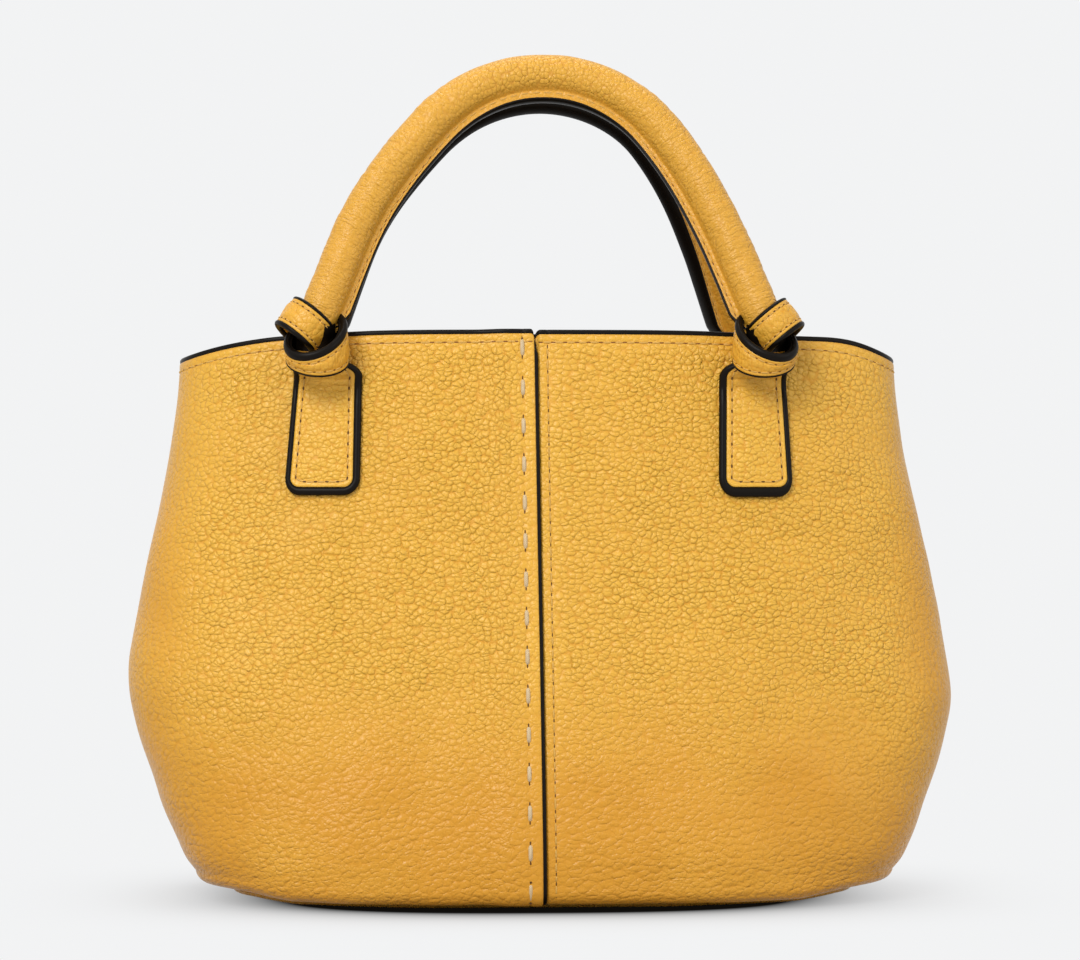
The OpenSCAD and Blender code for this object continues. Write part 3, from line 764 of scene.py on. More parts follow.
tab = dict(
    x=knotX - 0.002, foot=0.1376, width=0.0224, headWidth=0.0202, height=0.0333, corner=0.004, thick=0.0022,
    edge=0.0009, inner=0.00140, outer=0.00112, below=(0.00150, 0.00180), shoulderLow=0.0395,
    shoulderHigh=0.0450, neck=0.0071, top=0.0465, stitch=0.0026, stitchTop=0.0410, pitch=0.00365,
    length=0.0028, radius=0.00026, tilt=35, bendLow=0.0050, bendHigh=0.0030,
    shift={("front", -1): (-0.0011, 0.0009, -0.0006), ("front", 1): (-0.0020, -0.0026, -0.0017)})
sew = dict(
    rimPitch=0.0040, rimLength=0.0030, rimRadius=0.00034, rimMark=(0.0019, 0.00060),
    facingMark=(0.0018, 0.00045), finePitch=0.0041, fineLength=0.0030, fineRadius=0.00033,
    saddleFirst=0.0046, saddlePitch=0.01275, saddleCount=15, saddleLength=0.0060, saddleRadius=0.00070,
    saddleHole=(0.0015, 0.0012))

panelSeeds = {"front_left": 3, "front_right": 11, "back_left": 23, "back_right": 31}
panels = {}
for half, turn in halves:
    for kind, side, look in (("upper", -1, leftLeather), ("lower", 1, rightLeather)):
        name = f"{half}_{sideName(side, turn)}"
        panels[half, kind], shape, values = panelShape(kind == "upper", panelSeeds[name])
        put(name + "_panel_leather", shape, look, "bag", "body_leather", (name + "_panel",), turn, **values)
print("panels done")


# painted edges: rounded beads that close the cut edges

rimSection = np.array([  # how far in from a face, and how high
    (-0.00002, -0.0002), (-0.00016, 0.0002), (-0.00020, 0.0006), (-0.00010, 0.0010), (0.00018, 0.00134),
    (0.0007, 0.00150)])


def rimBead(grid, upper):
    top = grid["outer"][0]
    depth = panel["thick"] + panel["gap"] + panel["facing"]
    within = wallGrid([0.0], [], [], panelColumns(upper), depth=depth, lifted=False)["points"][0]
    within[:, 2] = top[:, 2]
    # the lower one starts a little under the lap
    first = 0 if upper else int(np.searchsorted(grid["e"][0], -0.0007))
    share = domed(grid["e"][0][first:] - grid["e"][0][first], 0.0010)[:, None]
    over = within[first:] - top[first:]
    wide = np.linalg.norm(over, axis=1)[:, None]
    u = np.concatenate([rimSection[:, 0] + 0 * wide, wide - rimSection[::-1, 0]], axis=1)
    u = wide / 2 + (u - wide / 2) * share
    h = 0.0006 + (np.concatenate([rimSection[:, 1], rimSection[::-1, 1]]) - 0.0006) * share
    ring = (over / wide)[:, None] * u[..., None] + h[..., None] * np.array([0, 0, 1])
    return loft(top[first:, None] + ring)


def edgeBead(outerLine, innerLine, out, reach, proud=0.00004, back=0.0003, taper=0.0012):
    # a half-round bead along the edge between an outer and an inner line
    middle = (outerLine + innerLine) / 2
    thick = np.linalg.norm(outerLine - innerLine, axis=1, keepdims=True) / 2
    normal = (outerLine - innerLine) / (2 * thick)
    out = unit(out - (out * normal).sum(1, keepdims=True) * normal)
    run = along(middle)
    size = domed(np.minimum(run, run[-1] - run), taper)[:, None]
    sections = [middle + (normal * (thick + proud) * math.sin(a) + out * reach * math.cos(a)) * size
                for a in np.radians(np.linspace(-90, 90, 11))]
    sections += [middle + (face * normal * (thick - 0.0001) - out * back) * size for face in (1, -1)]
    return loft(np.stack(sections, 1))


for half, turn in halves:
    beads = joined([rimBead(panels[half, kind], kind == "upper") for kind in ("upper", "lower")])
    put(f"{half}_rim_painted_edge", beads, edgePaint, "bag", "edge_paint", (f"{half}_rim_edge",), turn)
    upper, lower = panels[half, "upper"], panels[half, "lower"]
    outer = upper["outer"]
    bead = edgeBead(outer[:, 0], upper["inner"][:, 0], outer[:, 0] - outer[:, 2], 0.0012)
    put(f"{half}_seam_painted_edge", bead, edgePaint, "bag", "edge_paint", turn=turn)
    # machine stitches along the rim and beside the lap, and the thick stitches on the lap
    for kind, first in (("upper", 0.0014), ("lower", 0.0022)):
        e = np.linspace(first, panels[half, kind]["e"][8, -1] - 0.0014, 90)
        sewLine(f"{half}_{kind}_rim_stitches", *onPanel(panels[half, kind], e, panel["rimStitch"]),
                sew["rimPitch"], sew["rimLength"], sew["rimRadius"], "bag", 5, turn, sew["rimMark"],
                dark=softHoleShade)
    drop = np.linspace(0.0036, 0.1855, 70)
    sewLine(f"{half}_seam_stitches", *onPanel(lower, panel["fineStitch"], drop), sew["finePitch"],
            sew["fineLength"], sew["fineRadius"], "bag", 9, turn, jitter=0.16)
    drop = sew["saddleFirst"] + sew["saddlePitch"] * np.arange(sew["saddleCount"])
    (starts, _), (stops, _), (_, up) = (onPanel(upper, panel["saddle"], drop + step * sew["saddleLength"] / 2)
                                        for step in (-1, 1, 0))
    shape, place = threadRow(starts, stops, up, sew["saddleRadius"], rise=0.55, sink=0.9, flat=0.8)
    put(f"{half}_saddle_stitches_thread", shape, creamThread, "bag", "thick_thread",
        (f"{half}_saddle_stitches",), turn, place=place)
    spots = np.concatenate([starts, stops])
    holes = holeRow(spots, twice(unit(stops - starts)), twice(up), *sew["saddleHole"])
    put(f"{half}_saddle_stitch_holes", holes, holeShade, "bag", "thick_thread", turn=turn, place=holes[0])
print("edges and seams done")


# tabs: sewn to the wall up to the bending line, then bent forward into the knot

neckRefX = knotX - knot["neckWidth"] / 2
below, above = (float(wallY(neckRefX, hingeZ + step)) for step in (-0.001, 0.001))
leanBack = -math.atan((above - below) / 0.002)
tabHinge = hingeZ - tab["foot"]
neckRun = np.linspace(tabHinge - 0.014, tab["top"], 400)
neckTilt = leanBack + (math.radians(tab["tilt"]) - leanBack) * ease(
    (neckRun - (tabHinge - tab["bendLow"])) / (tab["bendLow"] + tab["bendHigh"]))
neckYs = np.concatenate([[0], np.cumsum(-np.sin(neckTilt[:-1]) * np.diff(neckRun))])
neckZs = np.concatenate([[0], np.cumsum(np.cos(neckTilt[:-1]) * np.diff(neckRun))])
neckYs += hingeY - np.interp(tabHinge, neckRun, neckYs)
neckZs += hingeZ - np.interp(tabHinge, neckRun, neckZs)


def tabMiddle(half, side, a, b):
    # the middle of the tab's leather at a across and b up from its foot; no two tabs stand quite alike
    a, b = np.broadcast_arrays(np.asarray(a, float), np.asarray(b, float))
    low, high, top = tab["shift"].get((half, side), (0, 0, 0))
    neck = ease((b - 0.0380) / 0.0080)
    x = side * (tab["x"] + (knotX - tab["x"]) * neck) + a
    x = x + (low + (high - low) * np.clip(b / 0.038, 0, 1)) * (1 - neck) + top * neck
    zWall = tab["foot"] + b
    yWall = wallY(x, np.minimum(zWall, 0.187)) - 0.0002 - tab["thick"] / 2
    level = np.minimum(zWall, hingeZ)
    follow = (wallY(x, level) - wallY(neckRefX, level)) * (1 - ease((b - tabHinge) / 0.008))
    share = ease((b - (tabHinge - 0.008)) / 0.008)
    y = (1 - share) * yWall + share * (np.interp(b, neckRun, neckYs) + follow)
    z = (1 - share) * zWall + share * np.interp(b, neckRun, neckZs)
    return np.stack([x, y, z], -1)


def tabNormal(half, side, a, b):
    tiny = 0.0002
    across = tabMiddle(half, side, a + tiny, b) - tabMiddle(half, side, a - tiny, b)
    up = tabMiddle(half, side, a, b + tiny) - tabMiddle(half, side, a, b - tiny)
    return unit(np.cross(across, up))


def tabHalf(b):
    wide = (tab["width"] + (tab["headWidth"] - tab["width"]) * np.minimum(b / tab["height"], 1.05)) / 2
    shoulder = ease((b - tab["shoulderLow"]) / (tab["shoulderHigh"] - tab["shoulderLow"]))
    return wide + (tab["neck"] - wide) * shoulder


def tabHalfInset(b, inset):
    r = tab["corner"]
    down = np.clip(r - b, 0, r - inset)
    return tabHalf(b) - r + np.sqrt(np.maximum((r - inset) ** 2 - down ** 2, 0))


def tabOutline(inset, top, step=0.0006):
    # from the top of one side, round the foot, to the top of the other
    r = tab["corner"]
    b = np.arange(top, r, -step)
    right = np.stack([tabHalfInset(b, inset), b], 1)
    bow = np.radians(np.linspace(0, -90, 12))
    corner = np.stack([tabHalf(r) - r + (r - inset) * np.cos(bow), r + (r - inset) * np.sin(bow)], 1)
    foot = np.stack([np.linspace(corner[-1, 0], 0, 14)[1:], np.full(13, inset)], 1)
    halfLine = np.concatenate([right, corner, foot])
    return np.concatenate([halfLine, halfLine[-2::-1] * (-1, 1)])


def tabDepth(a, b):
    # distance in from the outline
    r = tab["corner"]
    sideways = tabHalf(b) - np.abs(a)
    qa, qb = r - sideways, r - b
    corner = r - np.hypot(np.maximum(qa, 0), np.maximum(qb, 0))
    return np.where((qa > 0) & (qb > 0), corner, np.minimum(sideways, b))


def tabPieces(half, side, turn):
    label = f"{half}_{sideName(side, turn)}_tab"
    body = f"{half}_handle"
    bend = field(0, hingeY, hingeZ + np.array([-0.0018, 0.0020]))
    bend = turned(bend) if turn else bend
    inset = tab["edge"]
    nearFoot = inset + np.array([0, 0.0001, 0.0003, 0.0006, 0.001, 0.0015, 0.0020, 0.0026])
    b = np.concatenate([nearFoot, np.arange(0.0040, tab["top"], 0.00075)])[:, None]
    c = np.sin(np.linspace(-1, 1, 41) * math.pi / 2)
    a, b = tabHalfInset(b, inset) * c, b + 0 * c
    depth = tabDepth(a, b)
    relief = 0.00030 * ease((depth - 0.0034) / 0.004) - 0.00022 * hump(depth - tab["stitch"], 0.0005)
    relief = relief - 0.00030 * np.clip(1 - (depth - inset) / 0.0006, 0, 1) ** 2
    relief = relief + 0.00012 * ripples(71 + side, 12, 0.006, 0.016)(a, b) * ease((depth - 0.004) / 0.004)
    # the leather buckles a little where it bends into the knot
    buckle = np.sin((b - 0.0345) / 0.0042 * math.tau) * hump(b - 0.0365, 0.0030)
    relief = relief + 0.00035 * buckle * ease((depth - 0.001) / 0.003)
    middle, normal = tabMiddle(half, side, a, b), tabNormal(half, side, a, b)
    top = middle + normal * (tab["thick"] / 2 + relief)[..., None]
    mask = field(ease(1 - (depth - 0.001) / 0.0035), 0.5 * ease((b - 0.028) / 0.012))
    put(label + "_leather", closedSkin(top, middle - normal * (tab["thick"] / 2)), litTabLeather, body,
        "body_leather", (label,), turn, bend, place=twice(field(a + 0.9 + 0.1 * side, b)), mask=twice(mask))

    def lineOn(inset, top):
        line = tabOutline(inset, top)
        return line, tabMiddle(half, side, *line.T), tabNormal(half, side, *line.T)
    # the painted edge is thick towards the bag's middle and along the foot, thin on the outer side
    line, middle, normal = lineOn(inset, tab["top"])
    flatOut = unit(np.gradient(line, axis=0)[:, ::-1] * (-1, 1))
    flatOut = flatOut * np.sign(np.sum(flatOut * (line - (0, 0.018)), axis=1, keepdims=True))
    away = flatOut[:, 0] * side
    wide = (tab["outer"] * np.clip(away, 0, 1) ** 2 + tab["inner"] * np.clip(-away, 0, 1) ** 2
            + tab["below"][0 if side < 0 else 1] * flatOut[:, 1] ** 2)
    wide = wide + (0.0007 - wide) * ease((line[:, 1] - 0.038) / 0.005)
    out = unit(tabMiddle(half, side, *(line + flatOut * 0.0002).T) - middle)
    middle = middle + out * (wide - 0.00030)[:, None]
    bead = loft(ovals(middle, out, normal, wide, tab["thick"] / 2 + 0.00018))
    put(label + "_painted_edge", bead, edgePaint, body, "edge_paint", turn=turn, bend=bend)
    _, middle, normal = lineOn(tab["stitch"], tab["stitchTop"])
    sewLine(label + "_stitches", middle + normal * (tab["thick"] / 2 - 0.00012), normal, tab["pitch"],
            tab["length"], tab["radius"], body, 40 + side, turn, bend=bend)


for half, turn in halves:
    for side in (-1, 1):
        tabPieces(half, side, turn)
print("tabs done")


# handles: leather rolled round a cord, its two edges sewn into a flange inside the arch

sideArc = handle["sideR"] * (sideTurn - topA)
topArc = handle["topR"] * topA
halfRun = handle["legLen"] + sideArc + topArc
topCentre = np.array([0, archHeight - handle["topR"]])
sideCentre = topCentre + (handle["topR"] - handle["sideR"]) * np.array([math.sin(topA), math.cos(topA)])
legHead = sideCentre + handle["sideR"] * np.array([math.sin(sideTurn), math.cos(sideTurn)])
lean = math.radians(handle["lean"])
tubeR = handle["tube"] / 2
wrap = dict(
    start=-0.0015, taper=0.0100, endR=0.0057, bead=0.0009, stitch=0.0012, pitch=0.0038, length=0.0029,
    radius=0.00026, step=0.0006, open=154)


def fromFoot(s):
    # distance to the nearer foot along the middle line
    return np.minimum(s, 2 * halfRun - s)


def archAt(s):
    # in-plane place and the angle of the outer side, s along the middle line from the right foot
    s = np.asarray(s, float)
    m = fromFoot(s)
    down = handle["legLen"] - m
    sideAt = legA + (m - handle["legLen"]) / handle["sideR"]
    topAt = math.pi / 2 - topA + (m - handle["legLen"] - sideArc) / handle["topR"]
    onLeg, onTop = m < handle["legLen"], m > handle["legLen"] + sideArc
    angle = np.where(onLeg, legA, np.where(onTop, topAt, sideAt))
    r = np.where(onTop, handle["topR"], handle["sideR"])
    centreP, centreQ = (np.where(onTop, top, aside) for top, aside in zip(topCentre, sideCentre))
    p = np.where(onLeg, legHead[0] + down * math.sin(legA), centreP + r * np.cos(angle))
    q = np.where(onLeg, legHead[1] - down * math.cos(legA), centreQ + r * np.sin(angle))
    flip = s > halfRun
    return np.where(flip, -p, p), q, np.where(flip, math.pi - angle, angle)


def leaned(p, q, h):
    return np.stack([p, knotY + q * math.sin(lean) - h * math.cos(lean),
                     form["rim"] + q * math.cos(lean) + h * math.sin(lean)], -1)


def handlePoint(half, s, u, h):
    # u away from the middle line on the outer side, h towards the front, the flange turned into the bag
    p, q, angle = archAt(s)
    m = fromFoot(s)
    foot, shoulder, top = np.radians(handle[half]["twist"])
    twist = foot + (shoulder - foot) * ease(m / 0.062) + (top - shoulder) * ease((m - 0.078) / 0.040)
    u, h = u * np.cos(twist) - h * np.sin(twist), u * np.sin(twist) + h * np.cos(twist)
    u = u + handle["outward"]
    low, high = handle[half]["shift"]
    aside = low + (high - low) * ease((q - 0.036) / 0.045)
    return leaned(p + u * np.cos(angle) + aside, q + u * np.sin(angle), h)


def flangeAt(s):
    m = fromFoot(s)
    wide = handle["flange"] + (handle["flangeFoot"] - handle["flange"]) * ease(1 - (m - 0.010) / 0.014)
    cut = np.clip((m - handle["legCut"]) / (handle["flangeCut"] - handle["legCut"]), 0, 1)
    return wide * cut ** 0.8


def tubeAt(s):
    return wrap["endR"] + (tubeR - wrap["endR"]) * ease((fromFoot(s) - wrap["start"]) / wrap["taper"])


def coverShape(half, seed):
    s = np.arange(wrap["start"], 2 * halfRun - wrap["start"], wrap["step"])
    r, flange = tubeAt(s), np.maximum(flangeAt(s) - 0.0006, 0.0007)
    lip = handle[half]["thick"] / 2
    circle = np.radians(np.linspace(wrap["open"], -wrap["open"], 47))
    us, hs, arounds = [], [], []
    # front face of the flange, from its tip to its root
    root = r + 0.0009
    for share in np.linspace(1, 0, 7)[:-1]:
        us.append(-(root + np.maximum(r + flange - root, 0.0002) * share))
        hs.append(lip + 0 * s)
        arounds.append(share * 0.004)
    # a fillet from the flange on to the round
    startU, startH = r * math.cos(circle[0]), r * math.sin(circle[0])
    tangentU, tangentH = -math.sin(circle[0]) * 0.0011, math.cos(circle[0]) * -0.0011
    for t in np.linspace(0, 1, 8)[:-1]:
        a, b, c, d = (1 - t) ** 3, 3 * t * (1 - t) ** 2, 3 * t * t * (1 - t), t ** 3
        us.append(a * -root + b * (-root + 0.0009) + c * (startU + tangentU) + d * startU)
        hs.append(a * lip + b * lip + c * (startH - tangentH) + d * startH)
        arounds.append(-0.002 * t)
    count = len(us)
    for a in circle:
        us.append(r * math.cos(a))
        hs.append(r * math.sin(a))
        arounds.append(-0.002 - (circle[0] - a) * tubeR)
    us += us[:count][::-1]
    hs += [-h for h in hs[:count][::-1]]
    arounds += [arounds[-1] - 0.0004 * (k + 1) for k in range(count)]
    us, hs = np.stack(us, 1), np.stack(hs, 1)
    angle = np.arctan2(hs, us)
    arounds = np.array(arounds)[None, :] + 0 * us
    # cross wrinkles on the legs, where the roll was pushed together
    draw = np.random.default_rng(seed)
    crease = 0 * us
    for k in range(110):
        at = draw.uniform(0.006, handle["legLen"] + sideArc + 0.012)
        at = at if k % 2 else 2 * halfRun - at
        middle, spread = draw.uniform(-2.6, 2.6), draw.uniform(0.5, 1.3)
        slant, deep = draw.uniform(-0.0016, 0.0016), draw.uniform(0.00008, 0.00018)
        wide = draw.uniform(0.0005, 0.0009)
        off = s[:, None] - (at + slant * (angle - middle) + 0.0004 * np.sin(angle * 3 + k))
        fold = 0.6 * hump(off - wide * 1.9, wide * 1.3) - hump(off, wide)
        crease = crease + deep * fold * hump(angle - middle, spread)
    rough = 0.00010 * ripples(seed + 4, 16, 0.006, 0.020)(arounds, s[:, None])
    onTube = ease((-0.0004 - np.abs(arounds + 0.002 + circle[0] * tubeR) + circle[0] * tubeR) / 0.003)
    onFlange = us < -(r[:, None] + 0.0004)
    groove = -0.00016 * hump(us + r[:, None] + wrap["stitch"], 0.0005) * onFlange
    outward = unit(np.stack([us, hs], -1)) * ((crease + rough) * onTube)[..., None]
    us, hs = us + outward[..., 0], hs + outward[..., 1] + np.sign(hs) * groove
    legShare = ease(1 - (fromFoot(s)[:, None] - handle["legLen"]) / 0.12)
    mask = field(np.maximum(1 - onTube, 0.25), 0.90 * legShare * onTube, 0.25 * (1 - onTube))
    return loft(handlePoint(half, s[:, None], us, hs)), {"place": field(arounds, s[:, None]), "mask": mask}


def handlePieces(half, turn, seed):
    body = f"{half}_handle"
    lip = handle[half]["thick"] / 2
    shape, values = coverShape(half, seed)
    put(f"{half}_handle_leather", shape, shadedHandleLeather, body, "handle_leather", (f"{half}_handle_cover",),
        turn, sharp=60, **values)
    # painted edge on the flange, down its slanting ends
    s = np.arange(handle["legCut"] - 0.0004, 2 * halfRun - handle["legCut"] + 0.0004, 0.0008)
    u = -(tubeAt(s) + np.maximum(flangeAt(s) - 0.0005, 0.0002))
    line = handlePoint(half, s, u, 0)
    front = unit(handlePoint(half, s, u, 0.001) - line)
    out = unit(np.cross(unit(np.gradient(line, axis=0)), front))
    size = domed(np.minimum(s - s[0], s[-1] - s), 0.0015, 0.05)
    bead = loft(ovals(line, out, front, wrap["bead"] * size, (lip + 0.00020) * size))
    put(f"{half}_handle_painted_edge", bead, edgePaint, body, "edge_paint", turn=turn)
    s = np.arange(0.0055, 2 * halfRun - 0.0055, 0.001)
    deepIn = wrap["stitch"] - 0.0008 * ease((fromFoot(s) - 0.066) / 0.020)
    inward = tubeAt(s) + np.minimum(deepIn, np.maximum(flangeAt(s) - 0.0012, 0))
    for face, label in ((1, "outer"), (-1, "inner")):
        line = handlePoint(half, s, -inward, face * (lip - 0.00010))
        normal = unit(handlePoint(half, s, 0, face) - handlePoint(half, s, 0, 0))
        sewLine(f"{half}_handle_{label}_stitches", line, normal, wrap["pitch"], wrap["length"],
                wrap["radius"], body, seed + 60, turn, (0.0013, 0.0004), dark=softHoleShade)
    # the cord inside
    s = np.arange(0.003, 2 * halfRun - 0.003, 0.004)[:, None]
    around = np.linspace(0, math.tau, 20, endpoint=False)
    coreR = tubeAt(s) - 0.0020
    core = loft(handlePoint(half, s, coreR * np.cos(around), coreR * np.sin(around)))
    put(f"{half}_handle_cord", core, cottonCord, body, "core_foam", (f"{half}_handle_core",), turn,
        place=field(around * 0.0054, s))


for half, turn, seed in (("front", False, 101), ("back", True, 131)):
    handlePieces(half, turn, seed)
print("handles done")


# knots: a flaring collar of strap, a band over the tube's end, and the strap's heart between them

band = dict(thick=0.0022, stitch=0.0013, radius=0.00024)
collarRings = dict(
    inside=True, spreadUp=0.0013, spreadDown=0.0006, pitch=0.0033, mark=softHoleShade,
    topBead=0.00165, lowBead=0.00045,
    topX=0.0003, topY=-0.0020, topZ=0.1883, topRx=0.0104, topRy=0.0082, topRoll=0.0031, topDip=0.0070,
    lowX=-0.0003, lowY=0.0016, lowZ=0.1799, lowRx=0.0103, lowRy=0.0088, lowRoll=-0.0002, lowDip=0.0052)
bandRings = dict(
    topX=-0.0002, topZ=0.1959, topR=0.00845, topBead=0.00066, lowX=0.0070, lowZ=0.1868, lowR=0.0082,
    lowBead=0.00105, y=0.0008, across=(0.774, 0.632), backTilt=8, pitch=0.0024, mark=holeShade)
# the heart's end under the tube, its end at the neck, and its half width and depth at both
heart = dict(
    top=(0.0004, 0.0002, 0.1925), neck=(0, -0.0052, 0.0074), wide=(0.0066, 0.0068), deep=(0.0066, 0.0019))
knotShift = {("front", -1): (-0.0006, -0.0013), ("front", 1): (-0.0017, -0.0015)}


def strapRing(name, look, top, low, body, nodes, turn, seed, mirror, shift):
    # top and low are the outer face's two edges, painted beads included
    top, low = (edge * (mirror, 1, 1) + (shift, 0, 0) for edge in (top, low))
    middle = (top + low) / 2
    across = unit(top - low)
    wide = np.linalg.norm(top - low, axis=1)
    forward = unit(np.roll(middle, -1, axis=0) - np.roll(middle, 1, axis=0))
    out = unit(np.cross(across, forward))
    if np.dot(out[0], middle[0] - middle.mean(0)) < 0:
        out = -out
    run = along(middle)[:, None]
    half = band["thick"] / 2
    middle = middle - out * half

    def reachOf(u):
        # u runs from the lower edge to the upper one, each with a painted bead of its own size
        return wide[:, None] / 2 - np.where(u > 0, look["topBead"], look["lowBead"]) * 1.5
    u = np.sin(np.linspace(-1, 1, 31) * math.pi / 2)
    reach = reachOf(u)
    fromEdge = reach * (1 - np.abs(u))
    relief = 0.00022 * ease((fromEdge - 0.0012) / 0.002) - 0.00020 * hump(fromEdge - band["stitch"], 0.00045)
    relief = relief - 0.00030 * np.clip(1 - fromEdge / 0.0005, 0, 1) ** 2
    sway = ripples(seed, 12, 0.004, 0.011)(reach * u, run)
    relief = relief + 0.00014 * sway * ease((fromEdge - 0.0008) / 0.002)
    v = np.linspace(1, -1, 7)
    under = reachOf(v) * v
    span = np.concatenate([reach * u, under], axis=1)
    high = np.concatenate([half + relief, 0 * under - half], axis=1)
    calm = np.concatenate([ease(1 - fromEdge / 0.0022), 0 * under + 0.6], axis=1)
    sections = middle[:, None] + across[:, None] * span[..., None] + out[:, None] * high[..., None]
    put(name + "_leather", loft(sections, closed=True), strapLeather, body, "handle_leather", nodes, turn,
        place=field(span, run) + (2.0 + 0.1 * seed, 0, 0), mask=field(calm, 0.35))
    edges = ((1, look["topBead"], "upper"), (-1, look["lowBead"], "lower"))
    beads = []
    for sign, bead, _ in edges:
        line = middle + across * (sign * (wide / 2 - bead))[:, None]
        beads.append(loft(ovals(line, across, out, bead, half + 0.00014), closed=True))
    put(name + "_painted_edges", joined(beads), edgePaint, body, "edge_paint", turn=turn)
    if look.get("inside"):
        # painted shade: the strap's inner face, in shade inside the collar, is painted black like its edges
        flats = [middle + across * (edge * wide * 0.42)[:, None] - out * (half + deep)
                 for edge, deep in ((1, 0.00002), (1, 0.0004), (-1, 0.0004), (-1, 0.00002))]
        inner = loft(np.stack(flats, 1), closed=True)
        put(name + "_inner_paint", inner, edgePaint, body, "edge_paint", turn=turn)
    for sign, bead, label in edges:
        seam = wide / 2 - bead * 1.5 - band["stitch"]
        line = middle + across * (sign * seam)[:, None] + out * (half - 0.00010)
        line, normal = (np.concatenate([v, v[:1]]) for v in (line, out))
        if turn:
            line, normal = turned(line), turned(normal)
        sewLine(f"{name}_{label}_stitches", line, normal, look["pitch"], look["pitch"] - 0.0008,
                band["radius"], body, seed + 3, mark=(0.0009, 0.0005), dark=look["mark"])


def knotPieces(half, side, turn, seed):
    label = f"{half}_{sideName(side, turn)}_knot"
    body = f"{half}_handle"
    phi = np.linspace(0, math.tau, 96, endpoint=False)
    c = collarRings
    rings = []
    for key in ("top", "low"):
        x = knotX + c[key + "X"] - c[key + "Rx"] * np.cos(phi)
        y = knotY + c[key + "Y"] - c[key + "Ry"] * np.sin(phi)
        z = c[key + "Z"] + c[key + "Roll"] * np.cos(phi) - c[key + "Dip"] * np.sin(phi)
        rings.append(field(x, y, z))
    spread = unit(rings[0] - rings[1])
    top, low = rings[0] + spread * c["spreadUp"], rings[1] - spread * c["spreadDown"]
    collarShift, bandShift = knotShift.get((half, side), (0, 0))
    strapRing(label + "_collar", c, top, low, body, (label,), turn, seed, side, collarShift)
    b = bandRings
    run = np.array([b["across"][0], 0, b["across"][1]])
    axis = np.array([-b["across"][1], 0, b["across"][0]])
    tilt = math.radians(b["backTilt"])
    front = np.array([0, -math.cos(tilt), 0]) + axis * math.sin(tilt)
    circle = front * np.sin(phi)[:, None] - run * np.cos(phi)[:, None]
    top, low = (np.array([knotX + b[key + "X"], knotY + b["y"], b[key + "Z"]]) + circle * b[key + "R"]
                for key in ("top", "low"))
    strapRing(label + "_band", b, top, low, body, (), turn, seed + 1, side, bandShift)
    # the strap gathered inside the collar, from the tube's end down to the neck
    t = np.linspace(0, 1, 13)[:, None]
    high = np.array([knotX, knotY, 0]) + heart["top"]
    low = np.array([knotX, hingeY, hingeZ]) + heart["neck"]
    sideways = np.array([1.0, 0, 0])
    wide, deep = (start + (end - start) * ease(t) for start, end in (heart["wide"], heart["deep"]))
    sections = ovals(high + (low - high) * t, sideways, unit(np.cross(low - high, sideways)), wide, deep, 24)
    sections = sections * (side, 1, 1) + (collarShift, 0, 0)
    # the heart's upper part, down in the collar's hole where shade falls, is painted black as shade; the part
    # below shows leather
    inside, shown = loft(sections[:10]), loft(sections[9:])
    put(label + "_heart_painted_edge", inside, edgePaint, body, "edge_paint", turn=turn, place=inside[0])
    place = field(np.linspace(0, math.tau, 24, endpoint=False) * heart["wide"][0], 0.02 * t[9:])
    put(label + "_heart", shown, strapLeather, body, "handle_leather", turn=turn, place=place,
        mask=np.full(place.shape, (0.5, 0.6, 0.3)))


for half, turn in halves:
    for side in (-1, 1):
        knotPieces(half, side, turn, 200 + 10 * side + (40 if turn else 0))
print("knots done")


# inside: facings, linings, board, patches, tapes and the snap

def halfColumns(full, share):
    near = 0.0062
    fine = np.arange(-near, near, 0.0004)
    out = near + (full[:, None] - near) * np.linspace(0, 1, 70)[1:]
    signed = np.concatenate([-out[:, ::-1], np.broadcast_to(fine, (len(full), len(fine))), out], axis=1)
    return signed, signed


def innerSkin(drops, depth, thick, bulge=None):
    grid = finishGrid(wallGrid(drops, [], [], halfColumns, depth=depth, lifted=False))
    near = grid["points"] - grid["normal"] * (bulge(grid)[..., None] if bulge else 0)
    return grid, near, near - grid["normal"] * thick


def notch(grid, points):
    # the inner layers dip with the panels' rounded corners
    x = points[..., 0] - seamShift(1.0, 0)
    cut = roundOff(np.where(x < 0, -x, np.maximum(x - panel["seamGap"], 0)), panel["cornerRound"])
    points[..., 2] -= cut * np.clip(1 - grid["drop"] / 0.007, 0, 1)


def lathe(profile, centre, axis):
    # a turned piece: profile holds (radius, height) from the back to the front
    sideways = unit(np.cross(axis, (0, 0, 1)))
    around = np.linspace(0, math.tau, 64, endpoint=False)[:, None]
    ring = np.cos(around) * sideways + np.sin(around) * np.cross(axis, sideways)
    return loft(np.array([centre + axis * h + ring * r for r, h in profile]))


